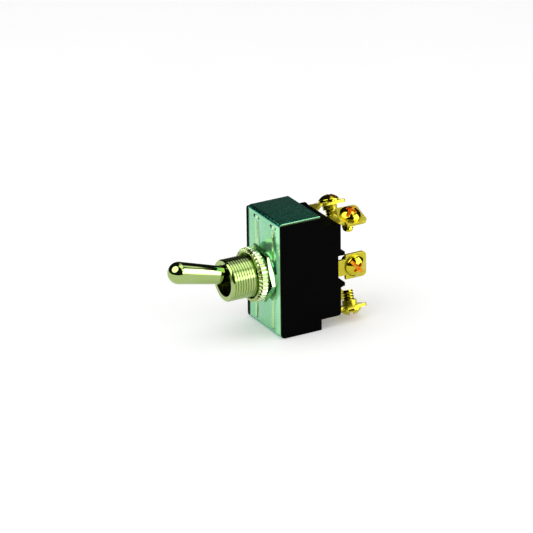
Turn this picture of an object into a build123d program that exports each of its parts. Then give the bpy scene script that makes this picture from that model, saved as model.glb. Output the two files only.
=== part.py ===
"""Panel toggle switch: a bat lever in a threaded bushing, a folded sheet cover over a moulded
case, and two poles of three screw terminals each.

Frame: +X to the right, +Y from the lever towards the terminals, +Z up. The origin is on the
bushing's axis, at the outer face of the face nut, where the free thread begins.
"""
import os
from math import cos, radians, sin, sqrt, tan

from build123d import *

# Bushing
thread_r = 5.95
thread_pitch = 0.794
thread_depth = 0.4
thread_groove_w = 0.66
shank_r = 5.70
free_thread = 7.5
rim_chamfer = 0.25
mouth_r = 4.5
mouth_depth = 1.2
throat_r = 2.9
rear_bore_r = 4.6
bushing_flange_r = 7.4
bushing_flange_t = 1.2

# Nuts on the bushing
nut_clearance = 0.03
nut_lead_in = 0.9
face_nut_t = 2.6
face_nut_r = 7.6
knurl_count = 72
knurl_depth = 0.3
knurl_chamfer = 0.2
panel_gap = 0.7
hex_nut_t = 2.1
hex_nut_flats = 14.2
hex_nut_turn = -9.0
hex_chamfer = 0.5

# Folded cover
sheet_t = 0.8
cover_w = 17.8
cover_h = 34.0
cover_depth = 12.8
bend_r = 1.0
bushing_hole_gap = 0.05
groove_x = 4.65
groove_w = 1.7
groove_depth = 0.3
groove_top_inset = 3.1
groove_bottom_inset = 1.5
lance_inset = 2.0
lance_w = 3.4
lance_h = 0.95
lance_bridge_w = 1.5
lance_bridge_proud = 0.2

# Moulded case
case_w = 19.05
cheek_inset = 0.1
cheek_r = 1.2
rear_inset = 3.2
rim_lip = 0.8
rim_t = 0.6
rear_edge_r = 0.8
rib_z = 4.6
rib_t = 1.0
rib_rise = 1.3
rib_root_r = 0.35
front_wall_t = 1.65
step_wall_t = 1.6
floor_t = 2.05
divider_t = 1.2
divider_front = 13.6
seat_fit = 0.05
seat_chamfer = 0.35

# Insulating card under the bushing's flange
card_t = 0.4
card_ledge = 0.3
card_fit = 0.05
card_slot_w = 5.4
card_slot_h = 10.4

# Lever, in distances along its own axis from the pivot
lever_tilt = 14.0
pivot_y = -0.7
ball_r = 3.5
ball_gap = 0.1
neck_r = 1.9
shoulder_start = 6.7
shoulder_end = 7.6
bat_base_r = 2.56
bat_tip_r = 3.13
bat_end = 24.4
tail_r = 2.0
pin_r = 0.75
pin_gap = 0.05
pin_half = 4.7
pin_end_gap = 0.2

# Actuator on the lever's tail, with one sprung plunger for each pole
pole_x = 4.2
actuator_gap = 0.62
actuator_t = 3.4
actuator_h = 4.8
tail_hold = 2.6
tube_r = 2.2
tube_inset = 2.2
tube_bottom_t = 0.8
plunger_r = 1.4
plunger_gap = 0.05
plunger_stem = 4.2
spring_space = 2.6
spring_wire_r = 0.17
spring_coil_r = 1.15
spring_turns = 4

# Rocking contact blades
rocker_w = 4.6
rocker_t = 0.8
rocker_axis_depth = 2.7
rocker_tilt = 6.0
rocker_half = 8.9
rocker_arc_half = 4.6
plunger_play = 0.08
fulcrum_gap = 0.07
contact_z = 7.0
contact_r = 1.5
contact_t = 0.65
dome_h = 0.15
contact_gap = 0.08
fixed_contact_r = 1.6
leg_depth = 1.1

# Terminals, with their depths behind the case's rear face
plate_t = 0.9
neck_w = 4.7
plate_w = 7.4
plate_start = 2.65
plate_end = 9.25
plate_corner = 1.3
end_plate_shift = 0.4
end_plate_rise = 0.8
end_terminal_x = 5.8
end_terminal_inset = 0.5
end_terminal_roll = 20.0
twist_start = 0.45
twist_end = 2.05
middle_terminal_x = 9.0
slot_fit = 0.05
end_leg_inner_x = 2.3
end_leg_bottom = 5.4
middle_leg_inner_x = 1.9
leg_side_gap = 0.1

# Terminal screws
screw_depth = 5.5
screw_r = 1.60
screw_hole_gap = 0.02
screw_length = 5.2
screw_tip_chamfer = 0.3
boss_r = 2.1
boss_h = 1.4
head_r = 3.0
head_edge = 0.6
head_h = 2.0
slot_w = 0.95
slot_depth = 1.0
cross_r = 1.55
cross_depth = 1.35
cross_taper = 12.0
middle_screw_turn = -35.0
end_screw_turn = 50.0

# Places worked out from the sizes above
cover_y = face_nut_t + panel_gap + hex_nut_t
cover_back_y = cover_y + sheet_t
card_y = cover_back_y + bushing_flange_t
flange_end_y = cover_y + cover_depth
actuator_reach = card_y + card_t - pivot_y + actuator_gap
actuator_start = actuator_reach / cos(radians(lever_tilt)) + actuator_h / 2 * tan(radians(lever_tilt))
actuator_end = actuator_start + actuator_t
tail_end = actuator_start + tail_hold
tube_floor = actuator_start + tube_bottom_t
plunger_back = tube_floor + spring_space
plunger_centre = plunger_back + plunger_stem
tube_end = plunger_centre - tube_inset
rocker_axis_y = pivot_y + plunger_centre + rocker_axis_depth
leg_y = rocker_axis_y + leg_depth
floor_y = leg_y + plate_t
rear_face_y = floor_y + floor_t
rim_y = rear_face_y + rim_lip
rib_y = rim_y + rib_rise
plate_start_y = rear_face_y + plate_start
plate_end_y = rear_face_y + plate_end
twist_start_y = rear_face_y + twist_start
twist_end_y = rear_face_y + twist_end
screw_y = rear_face_y + screw_depth
cheek_h = cover_h - 2 * cheek_inset
rear_h = cover_h - 2 * rear_inset
groove_top = cover_h / 2 - groove_top_inset
groove_bottom = groove_bottom_inset - cover_h / 2
lance_z = cover_h / 2 - lance_inset
end_terminal_z = rear_h / 2 - end_terminal_inset
cavity_w = 2 * (middle_terminal_x - plate_t)
front_cavity_h = cover_h - 2 * (sheet_t + seat_fit + front_wall_t)
rear_cavity_h = 2 * (end_terminal_z - plate_t)
card_w = cavity_w + 2 * card_ledge
card_h = front_cavity_h + 2 * card_ledge
pin_slot_half = pin_r + pin_gap
pin_slot_reach = pin_half + pin_end_gap
pivot = Vector(0, pivot_y, 0)
lever_dir = Vector(0, -cos(radians(lever_tilt)), sin(radians(lever_tilt)))
lever_axis = Axis(pivot, lever_dir)

os.makedirs("parts", exist_ok=True)


def across(y):
    """Plane across the switch at depth y, seen from the lever side: local x right, local y up."""
    return Plane.XZ.offset(-y)


def along_tail(distance, x=0.0):
    """Plane square to the lever's tail, at a distance behind the pivot, its normal to the rear."""
    centre = pivot - lever_dir * distance + Vector(x, 0, 0)
    return Plane(origin=centre, x_dir=(1, 0, 0), z_dir=lever_dir * -1)


def save(piece, name):
    """Label a finished piece and write its file."""
    piece.label = name
    export_step(piece, "parts/" + name + ".step")


def sides():
    """The two poles, as the name and the sign of X."""
    return (("left", -1), ("right", 1))


# Bushing: turned with its flange, bored from both ends; closed rings stand in for the thread
bushing_rear_y = card_y
seat_r = ball_r + ball_gap
throat_y = pivot_y - sqrt(seat_r**2 - throat_r**2)
chamber_end_y = pivot_y + seat_r
tip_y = -free_thread
ring_count = int((free_thread - rim_chamfer - thread_groove_w / 2) / thread_pitch)
thread_line = []
for ring in range(ring_count, 0, -1):
    thread_line.append((thread_r, -ring * thread_pitch - thread_groove_w / 2))
    thread_line.append((thread_r - thread_depth, -ring * thread_pitch))
    thread_line.append((thread_r, -ring * thread_pitch + thread_groove_w / 2))
with BuildPart() as bushing:
    with BuildSketch(Plane.XY):
        with BuildLine():
            Polyline(
                (mouth_r, tip_y),
                (thread_r - rim_chamfer, tip_y),
                (thread_r, tip_y + rim_chamfer),
                *thread_line,
                (thread_r, 0),
                (shank_r, 0),
                (shank_r, cover_back_y),
                (bushing_flange_r, cover_back_y),
                (bushing_flange_r, bushing_rear_y),
                (rear_bore_r, bushing_rear_y),
                (rear_bore_r, chamber_end_y),
                (seat_r, chamber_end_y),
                (seat_r, pivot_y),
            )
            RadiusArc((seat_r, pivot_y), (throat_r, throat_y), seat_r)
            Polyline((throat_r, throat_y), (mouth_r, tip_y + mouth_depth), (mouth_r, tip_y))
        make_face()
    revolve(axis=Axis.Y)
    # Two slots in the bore take the ends of the pivot pin
    with BuildSketch(Plane.YZ.offset(-pin_slot_reach)):
        with Locations((pivot_y, 0)):
            Circle(pin_slot_half)
        with Locations(((pivot_y + bushing_rear_y) / 2, 0)):
            Rectangle(bushing_rear_y - pivot_y, 2 * pin_slot_half)
    extrude(amount=2 * pin_slot_reach, mode=Mode.SUBTRACT)
save(bushing.part, "bushing")

# Face nut: a round nut with a straight knurl, its bore opened out to the front
nut_bore_r = shank_r + nut_clearance
with BuildPart() as face_nut:
    with BuildSketch(across(0)):
        with BuildLine():
            knurl_step = 360 / knurl_count
            crest = Vector(face_nut_r, 0)
            root = Vector(face_nut_r - knurl_depth, 0).rotate(Axis.Z, knurl_step / 2)
            turns = [step * knurl_step for step in range(knurl_count)]
            Polyline([spot.rotate(Axis.Z, turn) for turn in turns for spot in (crest, root)], close=True)
        make_face()
    extrude(amount=-face_nut_t)
    with BuildSketch(Plane.XY):
        with BuildLine():
            Polyline(
                (nut_bore_r, face_nut_t),
                (nut_bore_r, nut_lead_in),
                (nut_bore_r + nut_lead_in, 0),
                (face_nut_r - knurl_chamfer, 0),
                (face_nut_r, knurl_chamfer),
                (face_nut_r, face_nut_t - knurl_chamfer),
                (face_nut_r - knurl_chamfer, face_nut_t),
                close=True,
            )
        make_face()
    revolve(axis=Axis.Y, mode=Mode.INTERSECT)
save(face_nut.part, "face_nut")

# Hexagon nut between the face nut and the cover
hex_nut_y = cover_y - hex_nut_t
hex_corner_r = hex_nut_flats / 2 / cos(radians(30))
with BuildPart() as hex_nut:
    with BuildSketch(across(hex_nut_y)):
        RegularPolygon(hex_nut_flats / 2, 6, major_radius=False, rotation=hex_nut_turn)
    extrude(amount=-hex_nut_t)
    with BuildSketch(Plane.XY):
        with BuildLine():
            Polyline(
                (nut_bore_r, cover_y),
                (nut_bore_r, hex_nut_y),
                (hex_nut_flats / 2, hex_nut_y),
                (hex_corner_r, hex_nut_y + hex_chamfer),
                (hex_corner_r, cover_y - hex_chamfer),
                (hex_nut_flats / 2, cover_y),
                close=True,
            )
        make_face()
    revolve(axis=Axis.Y, mode=Mode.INTERSECT)
save(hex_nut.part, "hex_nut")

# Cover: one folded sheet, with two shallow grooves and a pierced lance above each
with BuildPart() as cover:
    with BuildSketch(Plane.YZ.offset(-cover_w / 2)):
        with BuildLine():
            FilletPolyline(
                (flange_end_y, cover_h / 2),
                (cover_y, cover_h / 2),
                (cover_y, -cover_h / 2),
                (flange_end_y, -cover_h / 2),
                radius=bend_r,
            )
            offset(amount=sheet_t, side=Side.LEFT)
        make_face()
    extrude(amount=cover_w)
    with BuildSketch(across(cover_y)):
        Circle(shank_r + bushing_hole_gap)
    extrude(amount=-sheet_t, mode=Mode.SUBTRACT)
    for name, side in sides():
        with BuildSketch(Plane.XY.offset(groove_bottom)):
            with BuildLine():
                Polyline(
                    (side * groove_x - groove_w / 2, cover_y - groove_depth),
                    (side * groove_x - groove_w / 2, cover_y),
                    (side * groove_x, cover_y + groove_depth),
                    (side * groove_x + groove_w / 2, cover_y),
                    (side * groove_x + groove_w / 2, cover_y - groove_depth),
                    close=True,
                )
            make_face()
        extrude(amount=groove_top - groove_bottom, mode=Mode.SUBTRACT)
        with BuildSketch(across(cover_y)):
            with Locations((side * groove_x, lance_z)):
                SlotOverall(lance_w, lance_h)
        extrude(amount=-sheet_t, mode=Mode.SUBTRACT)
        with BuildSketch(Plane.XY.offset(lance_z - lance_h / 2)):
            with BuildLine():
                bridge_left = (side * groove_x - lance_bridge_w / 2, cover_y + sheet_t / 2)
                bridge_right = (side * groove_x + lance_bridge_w / 2, cover_y + sheet_t / 2)
                ThreePointArc(bridge_left, (side * groove_x, cover_y - lance_bridge_proud), bridge_right)
                Line(bridge_right, bridge_left)
            make_face()
        extrude(amount=lance_h)
save(cover.part, "cover")

# Case: one moulding, stepped in behind the cover's flanges, with barrier ribs on its rear face
with BuildPart() as case:
    with BuildSketch(across(cover_y)):
        Rectangle(case_w, cheek_h)
    extrude(amount=-cover_depth)
    fillet(case.edges().filter_by(Axis.X).group_by(Axis.Y)[0], cheek_r)
    with BuildSketch(across(flange_end_y)):
        Rectangle(case_w, rear_h)
    extrude(amount=-(rim_y - flange_end_y))
    rear_edges = case.edges().filter_by(Axis.X).group_by(Axis.Y)[-1]
    fillet(rear_edges, rear_edge_r)
    # Rear face let in between the two side rims
    with BuildSketch(across(rear_face_y)):
        Rectangle(case_w - 2 * rim_t, rear_h)
        Rectangle(case_w, 2 * rib_z)
    extrude(amount=-rim_lip, mode=Mode.SUBTRACT)
    # Seat of the folded cover between the cheeks, leaving a core with its front edges broken
    core_z = cover_h / 2 - sheet_t - seat_fit
    with BuildSketch(Plane.YZ.offset(-cover_w / 2 - seat_fit)):
        with Locations((cover_y + cover_depth / 2, 0)):
            Rectangle(cover_depth, cover_h)
        with BuildLine():
            Polyline(
                (flange_end_y, core_z),
                (cover_back_y + seat_chamfer, core_z),
                (cover_back_y, core_z - seat_chamfer),
                (cover_back_y, seat_chamfer - core_z),
                (cover_back_y + seat_chamfer, -core_z),
                (flange_end_y, -core_z),
                close=True,
            )
        make_face(mode=Mode.SUBTRACT)
    extrude(amount=cover_w + 2 * seat_fit, mode=Mode.SUBTRACT)
    # Barrier ribs between the rows of terminals
    for rib_side in (-1, 1):
        with BuildSketch(Plane.YZ.offset(-case_w / 2)):
            with BuildLine():
                Polyline(
                    (rear_face_y, rib_side * (rib_z - rib_t / 2)),
                    (rib_y, rib_side * (rib_z - rib_t / 2)),
                    (rib_y, rib_side * (rib_z + rib_t / 2)),
                    (rim_y, rib_side * (rib_z + rib_t / 2 + rib_root_r)),
                    (rear_face_y, rib_side * (rib_z + rib_t / 2 + rib_root_r)),
                    close=True,
                )
            make_face()
        extrude(amount=case_w)
    # Cavity for the mechanism, with a ledge for the card and a wall between the poles
    with BuildSketch(across(cover_back_y)):
        Rectangle(card_w + 2 * card_fit, card_h + 2 * card_fit)
    extrude(amount=-(bushing_flange_t + card_t), mode=Mode.SUBTRACT)
    with BuildSketch(across(cover_back_y)):
        Rectangle(cavity_w, front_cavity_h)
    extrude(amount=-(flange_end_y - step_wall_t - cover_back_y), mode=Mode.SUBTRACT)
    with BuildSketch(across(cover_back_y)):
        Rectangle(cavity_w, rear_cavity_h)
    extrude(amount=-(floor_y - cover_back_y), mode=Mode.SUBTRACT)
    with BuildSketch(across(divider_front)):
        Rectangle(divider_t, rear_cavity_h)
    extrude(amount=-(floor_y - divider_front))
    # Slots in which the terminals are held
    for name, side in sides():
        with BuildSketch(across(leg_y - slot_fit)):
            with Locations((side * (middle_terminal_x - plate_t / 2), 0)):
                Rectangle(plate_t + 2 * slot_fit, neck_w + 2 * slot_fit)
            with GridLocations(0, 2 * end_terminal_z - plate_t, 1, 2):
                with Locations((side * end_terminal_x, 0)):
                    Rectangle(neck_w + 2 * slot_fit, plate_t + 2 * slot_fit)
        extrude(amount=-(rim_y - leg_y + slot_fit), mode=Mode.SUBTRACT)
save(case.part, "case")

# Insulating card, slotted for the lever's tail
with BuildPart() as insulating_card:
    with BuildSketch(across(card_y)):
        Rectangle(card_w, card_h)
        SlotOverall(card_slot_h, card_slot_w, rotation=90, mode=Mode.SUBTRACT)
    extrude(amount=-card_t)
save(insulating_card.part, "insulating_card")

# Lever: bat, neck, ball and tail turned in one piece, cross-drilled for the pivot pin
tail_joint = -sqrt(ball_r**2 - tail_r**2)
neck_joint = sqrt(ball_r**2 - neck_r**2)
with BuildPart() as lever:
    with BuildSketch(Plane(origin=pivot, x_dir=lever_dir, z_dir=(1, 0, 0))):
        with BuildLine():
            Polyline((bat_end, 0), (-tail_end, 0), (-tail_end, tail_r), (tail_joint, tail_r))
            RadiusArc((tail_joint, tail_r), (neck_joint, neck_r), ball_r)
            Line((neck_joint, neck_r), (shoulder_start, neck_r))
            shoulder_r = bat_base_r - neck_r
            Line((shoulder_start, neck_r), (shoulder_end - shoulder_r, neck_r))
            RadiusArc((shoulder_end - shoulder_r, neck_r), (shoulder_end, bat_base_r), shoulder_r)
            Line((shoulder_end, bat_base_r), (bat_end - bat_tip_r, bat_tip_r))
            RadiusArc((bat_end - bat_tip_r, bat_tip_r), (bat_end, 0), bat_tip_r)
        make_face()
    revolve(axis=lever_axis)
    with BuildSketch(Plane.YZ.offset(-ball_r)):
        with Locations((pivot_y, 0)):
            Circle(pin_r)
    extrude(amount=2 * ball_r, mode=Mode.SUBTRACT)
save(lever.part, "lever")

# Pivot pin pressed through the ball
with BuildPart() as pivot_pin:
    with BuildSketch(Plane.YZ.offset(-pin_half)):
        with Locations((pivot_y, 0)):
            Circle(pin_r)
    extrude(amount=2 * pin_half)
    chamfer(pivot_pin.edges().filter_by(GeomType.CIRCLE), pin_r / 4)
save(pivot_pin.part, "pivot_pin")

# Actuator: a moulded cross bar on the tail with a tube for each plunger
with BuildPart() as actuator:
    with BuildSketch(along_tail(actuator_start)):
        RectangleRounded(2 * (pole_x + tube_r), actuator_h, tube_r)
    extrude(amount=actuator_end - actuator_start)
    with BuildSketch(along_tail(actuator_start)):
        with Locations((-pole_x, 0), (pole_x, 0)):
            Circle(tube_r)
    extrude(amount=tube_end - actuator_start)
    with BuildSketch(along_tail(actuator_start)):
        Circle(tail_r)
    extrude(amount=tail_end - actuator_start, mode=Mode.SUBTRACT)
    with BuildSketch(along_tail(tube_floor)):
        with Locations((-pole_x, 0), (pole_x, 0)):
            Circle(plunger_r + plunger_gap)
    extrude(amount=tube_end - tube_floor, mode=Mode.SUBTRACT)
save(actuator.part, "actuator")

# Plungers and their springs
for name, side in sides():
    stem = plunger_centre - plunger_back
    plunger_foot = along_tail(plunger_back, side * pole_x).origin
    with BuildPart() as plunger:
        with BuildSketch(Plane(origin=plunger_foot, x_dir=lever_dir * -1, z_dir=(1, 0, 0))):
            with BuildLine():
                Polyline((stem + plunger_r, 0), (0, 0), (0, plunger_r), (stem, plunger_r))
                RadiusArc((stem, plunger_r), (stem + plunger_r, 0), plunger_r)
            make_face()
        revolve(axis=Axis(plunger_foot, lever_dir))
    save(plunger.part, "plunger_" + name)

    spring_start = tube_floor + spring_wire_r
    spring_run = plunger_back - tube_floor - 2 * spring_wire_r
    with BuildPart() as plunger_spring:
        with BuildLine() as coil:
            Helix(
                pitch=spring_run / spring_turns,
                height=spring_run,
                radius=spring_coil_r,
                center=along_tail(spring_start, side * pole_x).origin,
                direction=lever_dir * -1,
            )
        with BuildSketch(Plane(origin=coil.line @ 0, z_dir=coil.line % 0)):
            Circle(spring_wire_r)
        sweep(is_frenet=True)
    save(plunger_spring.part, "plunger_spring_" + name)

# Rockers: a dished blade for each pole, its front face following the plunger's path
swing = radians(lever_tilt)
rock = radians(rocker_tilt)
reach_y = plunger_centre * cos(swing) + pivot_y - rocker_axis_y
path_end_y = reach_y * cos(rock) - plunger_centre * sin(swing) * sin(rock)
path_end_z = plunger_centre * sin(swing) * cos(rock) + reach_y * sin(rock)
path_mid_y = plunger_centre + pivot_y - rocker_axis_y
path_sag = path_mid_y - path_end_y
path_r = (path_end_z**2 + path_sag**2) / (2 * path_sag)
dish_r = path_r + plunger_r + plunger_play
dish_mid_y = path_mid_y + plunger_r + plunger_play
dish_end_y = dish_mid_y - dish_r + sqrt(dish_r**2 - rocker_arc_half**2)
blade_back_y = dish_end_y + rocker_t
blade_back_z = rocker_arc_half + rocker_t / 2
fulcrum_r = -(dish_mid_y + rocker_t) - fulcrum_gap


def rocker_plane(x):
    """Plane of a rocker's side at x, turned with the rocker: local x to the rear, local y up."""
    return Plane(origin=(x, rocker_axis_y, 0), x_dir=(0, cos(rock), sin(rock)), z_dir=(1, 0, 0))


for name, side in sides():
    with BuildPart() as rocker:
        with BuildSketch(rocker_plane(side * pole_x - rocker_w / 2)):
            with BuildLine():
                ThreePointArc(
                    (dish_end_y, -rocker_arc_half),
                    (dish_mid_y, 0),
                    (dish_end_y, rocker_arc_half),
                )
                Polyline(
                    (dish_end_y, rocker_arc_half),
                    (dish_end_y, rocker_half),
                    (blade_back_y, rocker_half),
                    (blade_back_y, blade_back_z),
                )
                ThreePointArc(
                    (blade_back_y, blade_back_z),
                    (dish_mid_y + rocker_t, 0),
                    (blade_back_y, -blade_back_z),
                )
                Polyline(
                    (blade_back_y, -blade_back_z),
                    (blade_back_y, -rocker_half),
                    (dish_end_y, -rocker_half),
                    (dish_end_y, -rocker_arc_half),
                )
            make_face()
        extrude(amount=rocker_w)
    save(rocker.part, "rocker_" + name)
    for level, end in (("lower", -1), ("upper", 1)):
        with BuildPart() as rocker_contact:
            with BuildSketch(rocker_plane(side * pole_x)):
                with BuildLine():
                    contact_edge = (blade_back_y + contact_t - dome_h, end * (contact_z + contact_r))
                    contact_apex = (blade_back_y + contact_t, end * contact_z)
                    Polyline(contact_apex, (blade_back_y, end * contact_z))
                    Polyline(
                        (blade_back_y, end * contact_z),
                        (blade_back_y, end * (contact_z + contact_r)),
                        contact_edge,
                    )
                    contact_dome_r = (contact_r**2 + dome_h**2) / (2 * dome_h)
                    RadiusArc(contact_edge, contact_apex, contact_dome_r * end)
                make_face()
            rocker_dir = Vector(0, cos(rock), sin(rock))
            contact_foot = Vector(blade_back_y, end * contact_z)
            contact_base = rocker_plane(side * pole_x).from_local_coords(contact_foot)
            revolve(axis=Axis(contact_base, rocker_dir))
        save(rocker_contact.part, "rocker_contact_" + level + "_" + name)

# Fixed contacts, riveted on the legs of the end terminals
closed_apex_y = (
    rocker_axis_y + (blade_back_y + contact_t) * cos(rock) + contact_z * sin(rock) + contact_gap
)
for name, side in sides():
    for level, end in (("lower", -1), ("upper", 1)):
        with BuildPart() as fixed_contact:
            with BuildSketch(Plane.YZ.offset(side * pole_x)):
                with BuildLine():
                    fixed_edge = (closed_apex_y + dome_h, end * (contact_z + fixed_contact_r))
                    fixed_dome_r = (fixed_contact_r**2 + dome_h**2) / (2 * dome_h)
                    Polyline((closed_apex_y, end * contact_z), (leg_y, end * contact_z))
                    Polyline(
                        (leg_y, end * contact_z),
                        (leg_y, end * (contact_z + fixed_contact_r)),
                        fixed_edge,
                    )
                    RadiusArc(fixed_edge, (closed_apex_y, end * contact_z), -fixed_dome_r * end)
                make_face()
            revolve(axis=Axis((side * pole_x, 0, end * contact_z), (0, 1, 0)))
        save(fixed_contact.part, "fixed_contact_" + level + "_" + name)


def screw_plate(outer_face):
    """Screw plate with its drilled boss; the plane is its outer face, local x to the rear."""
    with BuildPart() as plate:
        with BuildSketch(outer_face) as blank:
            with Locations(((plate_end_y - plate_start_y) / 2, 0)):
                Rectangle(plate_end_y - plate_start_y, plate_w)
            fillet(blank.vertices().group_by(Axis.X)[-1], plate_corner)
        extrude(amount=-plate_t)
        with BuildSketch(outer_face.offset(-plate_t)):
            with Locations((screw_y - plate_start_y, 0)):
                Circle(boss_r)
        extrude(amount=-boss_h)
        with BuildSketch(outer_face):
            with Locations((screw_y - plate_start_y, 0)):
                Circle(screw_r + screw_hole_gap)
        extrude(amount=-(plate_t + boss_h), mode=Mode.SUBTRACT)
    return plate.part


def terminal_screw(outer_face, turn):
    """Domed screw standing on a plate's outer face, its slot turned from the plate's length."""
    centre = outer_face.from_local_coords(Vector(screw_y - plate_start_y, 0))
    head_plane = Plane(origin=centre, x_dir=outer_face.x_dir, z_dir=outer_face.z_dir)
    with BuildPart() as screw:
        with BuildSketch(Plane(origin=centre, x_dir=head_plane.z_dir, z_dir=head_plane.y_dir)):
            with BuildLine():
                Polyline(
                    (head_h, 0),
                    (-screw_length, 0),
                    (-screw_length, screw_r - screw_tip_chamfer),
                    (screw_tip_chamfer - screw_length, screw_r),
                    (0, screw_r),
                    (0, head_r),
                    (head_edge, head_r),
                )
                dome_r = (head_r**2 + (head_h - head_edge) ** 2) / (2 * (head_h - head_edge))
                RadiusArc((head_edge, head_r), (head_h, 0), dome_r)
            make_face()
        revolve(axis=Axis(centre, head_plane.z_dir))
        with BuildSketch(head_plane.offset(head_h)):
            Rectangle(2 * head_r, slot_w, rotation=turn)
        extrude(amount=-slot_depth, mode=Mode.SUBTRACT)
        with BuildSketch(head_plane.offset(head_h)):
            Rectangle(slot_w, 2 * cross_r, rotation=turn)
            Rectangle(2 * cross_r, slot_w, rotation=turn)
        extrude(amount=-cross_depth, taper=cross_taper, mode=Mode.SUBTRACT)
    return screw.part


# Middle terminals: a leg on the case's floor with the rocker's fulcrum, and an upright screw plate
for name, side in sides():
    plate_foot = (side * middle_terminal_x, plate_start_y, 0)
    outer_face = Plane(origin=plate_foot, x_dir=(0, 1, 0), z_dir=(side, 0, 0))
    plate_piece = screw_plate(outer_face)
    with BuildPart() as middle_terminal:
        with BuildSketch(across(leg_y)):
            with Locations((side * (middle_leg_inner_x + middle_terminal_x) / 2, 0)):
                Rectangle(middle_terminal_x - middle_leg_inner_x, neck_w)
        extrude(amount=-plate_t)
        with BuildSketch(across(leg_y)):
            with Locations((side * (middle_terminal_x - plate_t / 2), 0)):
                Rectangle(plate_t, neck_w)
        extrude(amount=-(plate_start_y - leg_y))
        with BuildSketch(Plane.YZ.offset(side * pole_x - rocker_w / 2)):
            with Locations((rocker_axis_y, 0)):
                Circle(fulcrum_r)
            with Locations(((rocker_axis_y + leg_y) / 2, 0)):
                Rectangle(leg_y - rocker_axis_y, 2 * fulcrum_r)
        extrude(amount=rocker_w)
        add(plate_piece)
    save(middle_terminal.part, "middle_terminal_" + name)
    save(terminal_screw(outer_face, middle_screw_turn), "middle_screw_" + name)

# End terminals: a leg under the fixed contact, a neck through the floor and a twisted screw plate
roll = radians(end_terminal_roll)
strip_z = end_terminal_z - plate_t / 2
end_start_y = plate_start_y + end_plate_shift
leg_outer_x = cavity_w / 2 - leg_side_gap
leg_top = rear_cavity_h / 2 - leg_side_gap
leg_w = leg_outer_x - end_leg_inner_x
leg_h = leg_top - end_leg_bottom
riser_w = leg_outer_x - (end_terminal_x - neck_w / 2)
riser_h = end_terminal_z - end_leg_bottom
for name, side in sides():
    for level, end in (("lower", -1), ("upper", 1)):
        outward = Vector(side * sin(roll), 0, end * cos(roll))
        plate_centre = Vector(side * end_terminal_x, end_start_y, end * (strip_z + end_plate_rise))
        outer_face = Plane(origin=plate_centre + outward * (plate_t / 2), x_dir=(0, 1, 0), z_dir=outward)
        plate_piece = screw_plate(outer_face)
        with BuildPart() as end_terminal:
            with BuildSketch(across(leg_y)):
                with Locations((side * (leg_outer_x - leg_w / 2), end * (end_leg_bottom + leg_h / 2))):
                    Rectangle(leg_w, leg_h)
                with Locations((side * (leg_outer_x - riser_w / 2), end * (end_leg_bottom + riser_h / 2))):
                    Rectangle(riser_w, riser_h)
            extrude(amount=-plate_t)
            with BuildSketch(across(leg_y)):
                with Locations((side * end_terminal_x, end * strip_z)):
                    Rectangle(neck_w, plate_t)
            extrude(amount=-(twist_start_y - leg_y))
            for share in (0, 0.5, 1):
                with BuildSketch(across(twist_start_y + share * (twist_end_y - twist_start_y))):
                    with Locations((side * end_terminal_x, end * (strip_z + share * end_plate_rise))):
                        Rectangle(neck_w, plate_t, rotation=-side * end * share * end_terminal_roll)
            loft()
            with BuildSketch(across(twist_end_y)):
                with Locations((side * end_terminal_x, end * (strip_z + end_plate_rise))):
                    Rectangle(neck_w, plate_t, rotation=-side * end * end_terminal_roll)
            extrude(amount=-(end_start_y - twist_end_y))
            add(plate_piece)
        save(end_terminal.part, "end_terminal_" + level + "_" + name)
        save(terminal_screw(outer_face, end_screw_turn * side * end), "end_screw_" + level + "_" + name)
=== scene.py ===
"""Studio scene of a panel toggle switch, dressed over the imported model.

Sizes are millimetres in the part's own frame: +X to the right, +Y from the lever towards the
terminals, +Z up, with the origin on the bushing's axis at the face nut's outer face. A finished
mesh is scaled to metres when its object is made.
"""
import logging
from collections.abc import Sequence
from dataclasses import dataclass
from enum import Enum, IntEnum
from math import acos, asin, atan2, cos, degrees, pi, radians, sin, sqrt, tan, tau
from typing import Any

import bmesh
import bpy
from mathutils import Matrix, Vector


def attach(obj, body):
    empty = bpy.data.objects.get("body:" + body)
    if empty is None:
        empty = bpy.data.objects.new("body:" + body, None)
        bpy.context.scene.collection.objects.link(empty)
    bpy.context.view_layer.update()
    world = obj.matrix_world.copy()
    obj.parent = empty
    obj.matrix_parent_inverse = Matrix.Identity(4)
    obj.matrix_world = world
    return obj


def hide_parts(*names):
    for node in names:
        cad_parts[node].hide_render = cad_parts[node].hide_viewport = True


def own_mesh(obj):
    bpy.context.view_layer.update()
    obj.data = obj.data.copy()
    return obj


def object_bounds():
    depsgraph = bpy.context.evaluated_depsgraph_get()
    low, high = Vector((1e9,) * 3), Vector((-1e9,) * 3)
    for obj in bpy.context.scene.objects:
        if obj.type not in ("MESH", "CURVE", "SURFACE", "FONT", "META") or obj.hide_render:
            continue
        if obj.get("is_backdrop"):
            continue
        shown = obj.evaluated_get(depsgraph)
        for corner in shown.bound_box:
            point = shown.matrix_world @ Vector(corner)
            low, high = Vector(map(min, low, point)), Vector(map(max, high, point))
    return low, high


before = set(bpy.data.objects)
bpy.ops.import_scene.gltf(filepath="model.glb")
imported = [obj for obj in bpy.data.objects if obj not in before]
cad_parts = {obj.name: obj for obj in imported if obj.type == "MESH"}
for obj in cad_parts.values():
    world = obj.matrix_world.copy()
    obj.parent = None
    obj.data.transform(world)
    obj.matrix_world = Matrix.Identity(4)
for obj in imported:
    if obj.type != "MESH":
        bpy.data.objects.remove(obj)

# Metres in a millimetre
MM = 0.001
# Distance under which two points are one, in millimetres
MERGE = 0.0005
# Angle under which two faces are one, in degrees
FLAT = 0.5
# Weak and strong noise, for a spread of numbers and for a blend of colours
SPREAD_NOISE = (0.3, 0.7)
BLEND_NOISE = (0.35, 0.65)
log = logging.getLogger("toggle_switch")

Colour = tuple[float, float, float]


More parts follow.
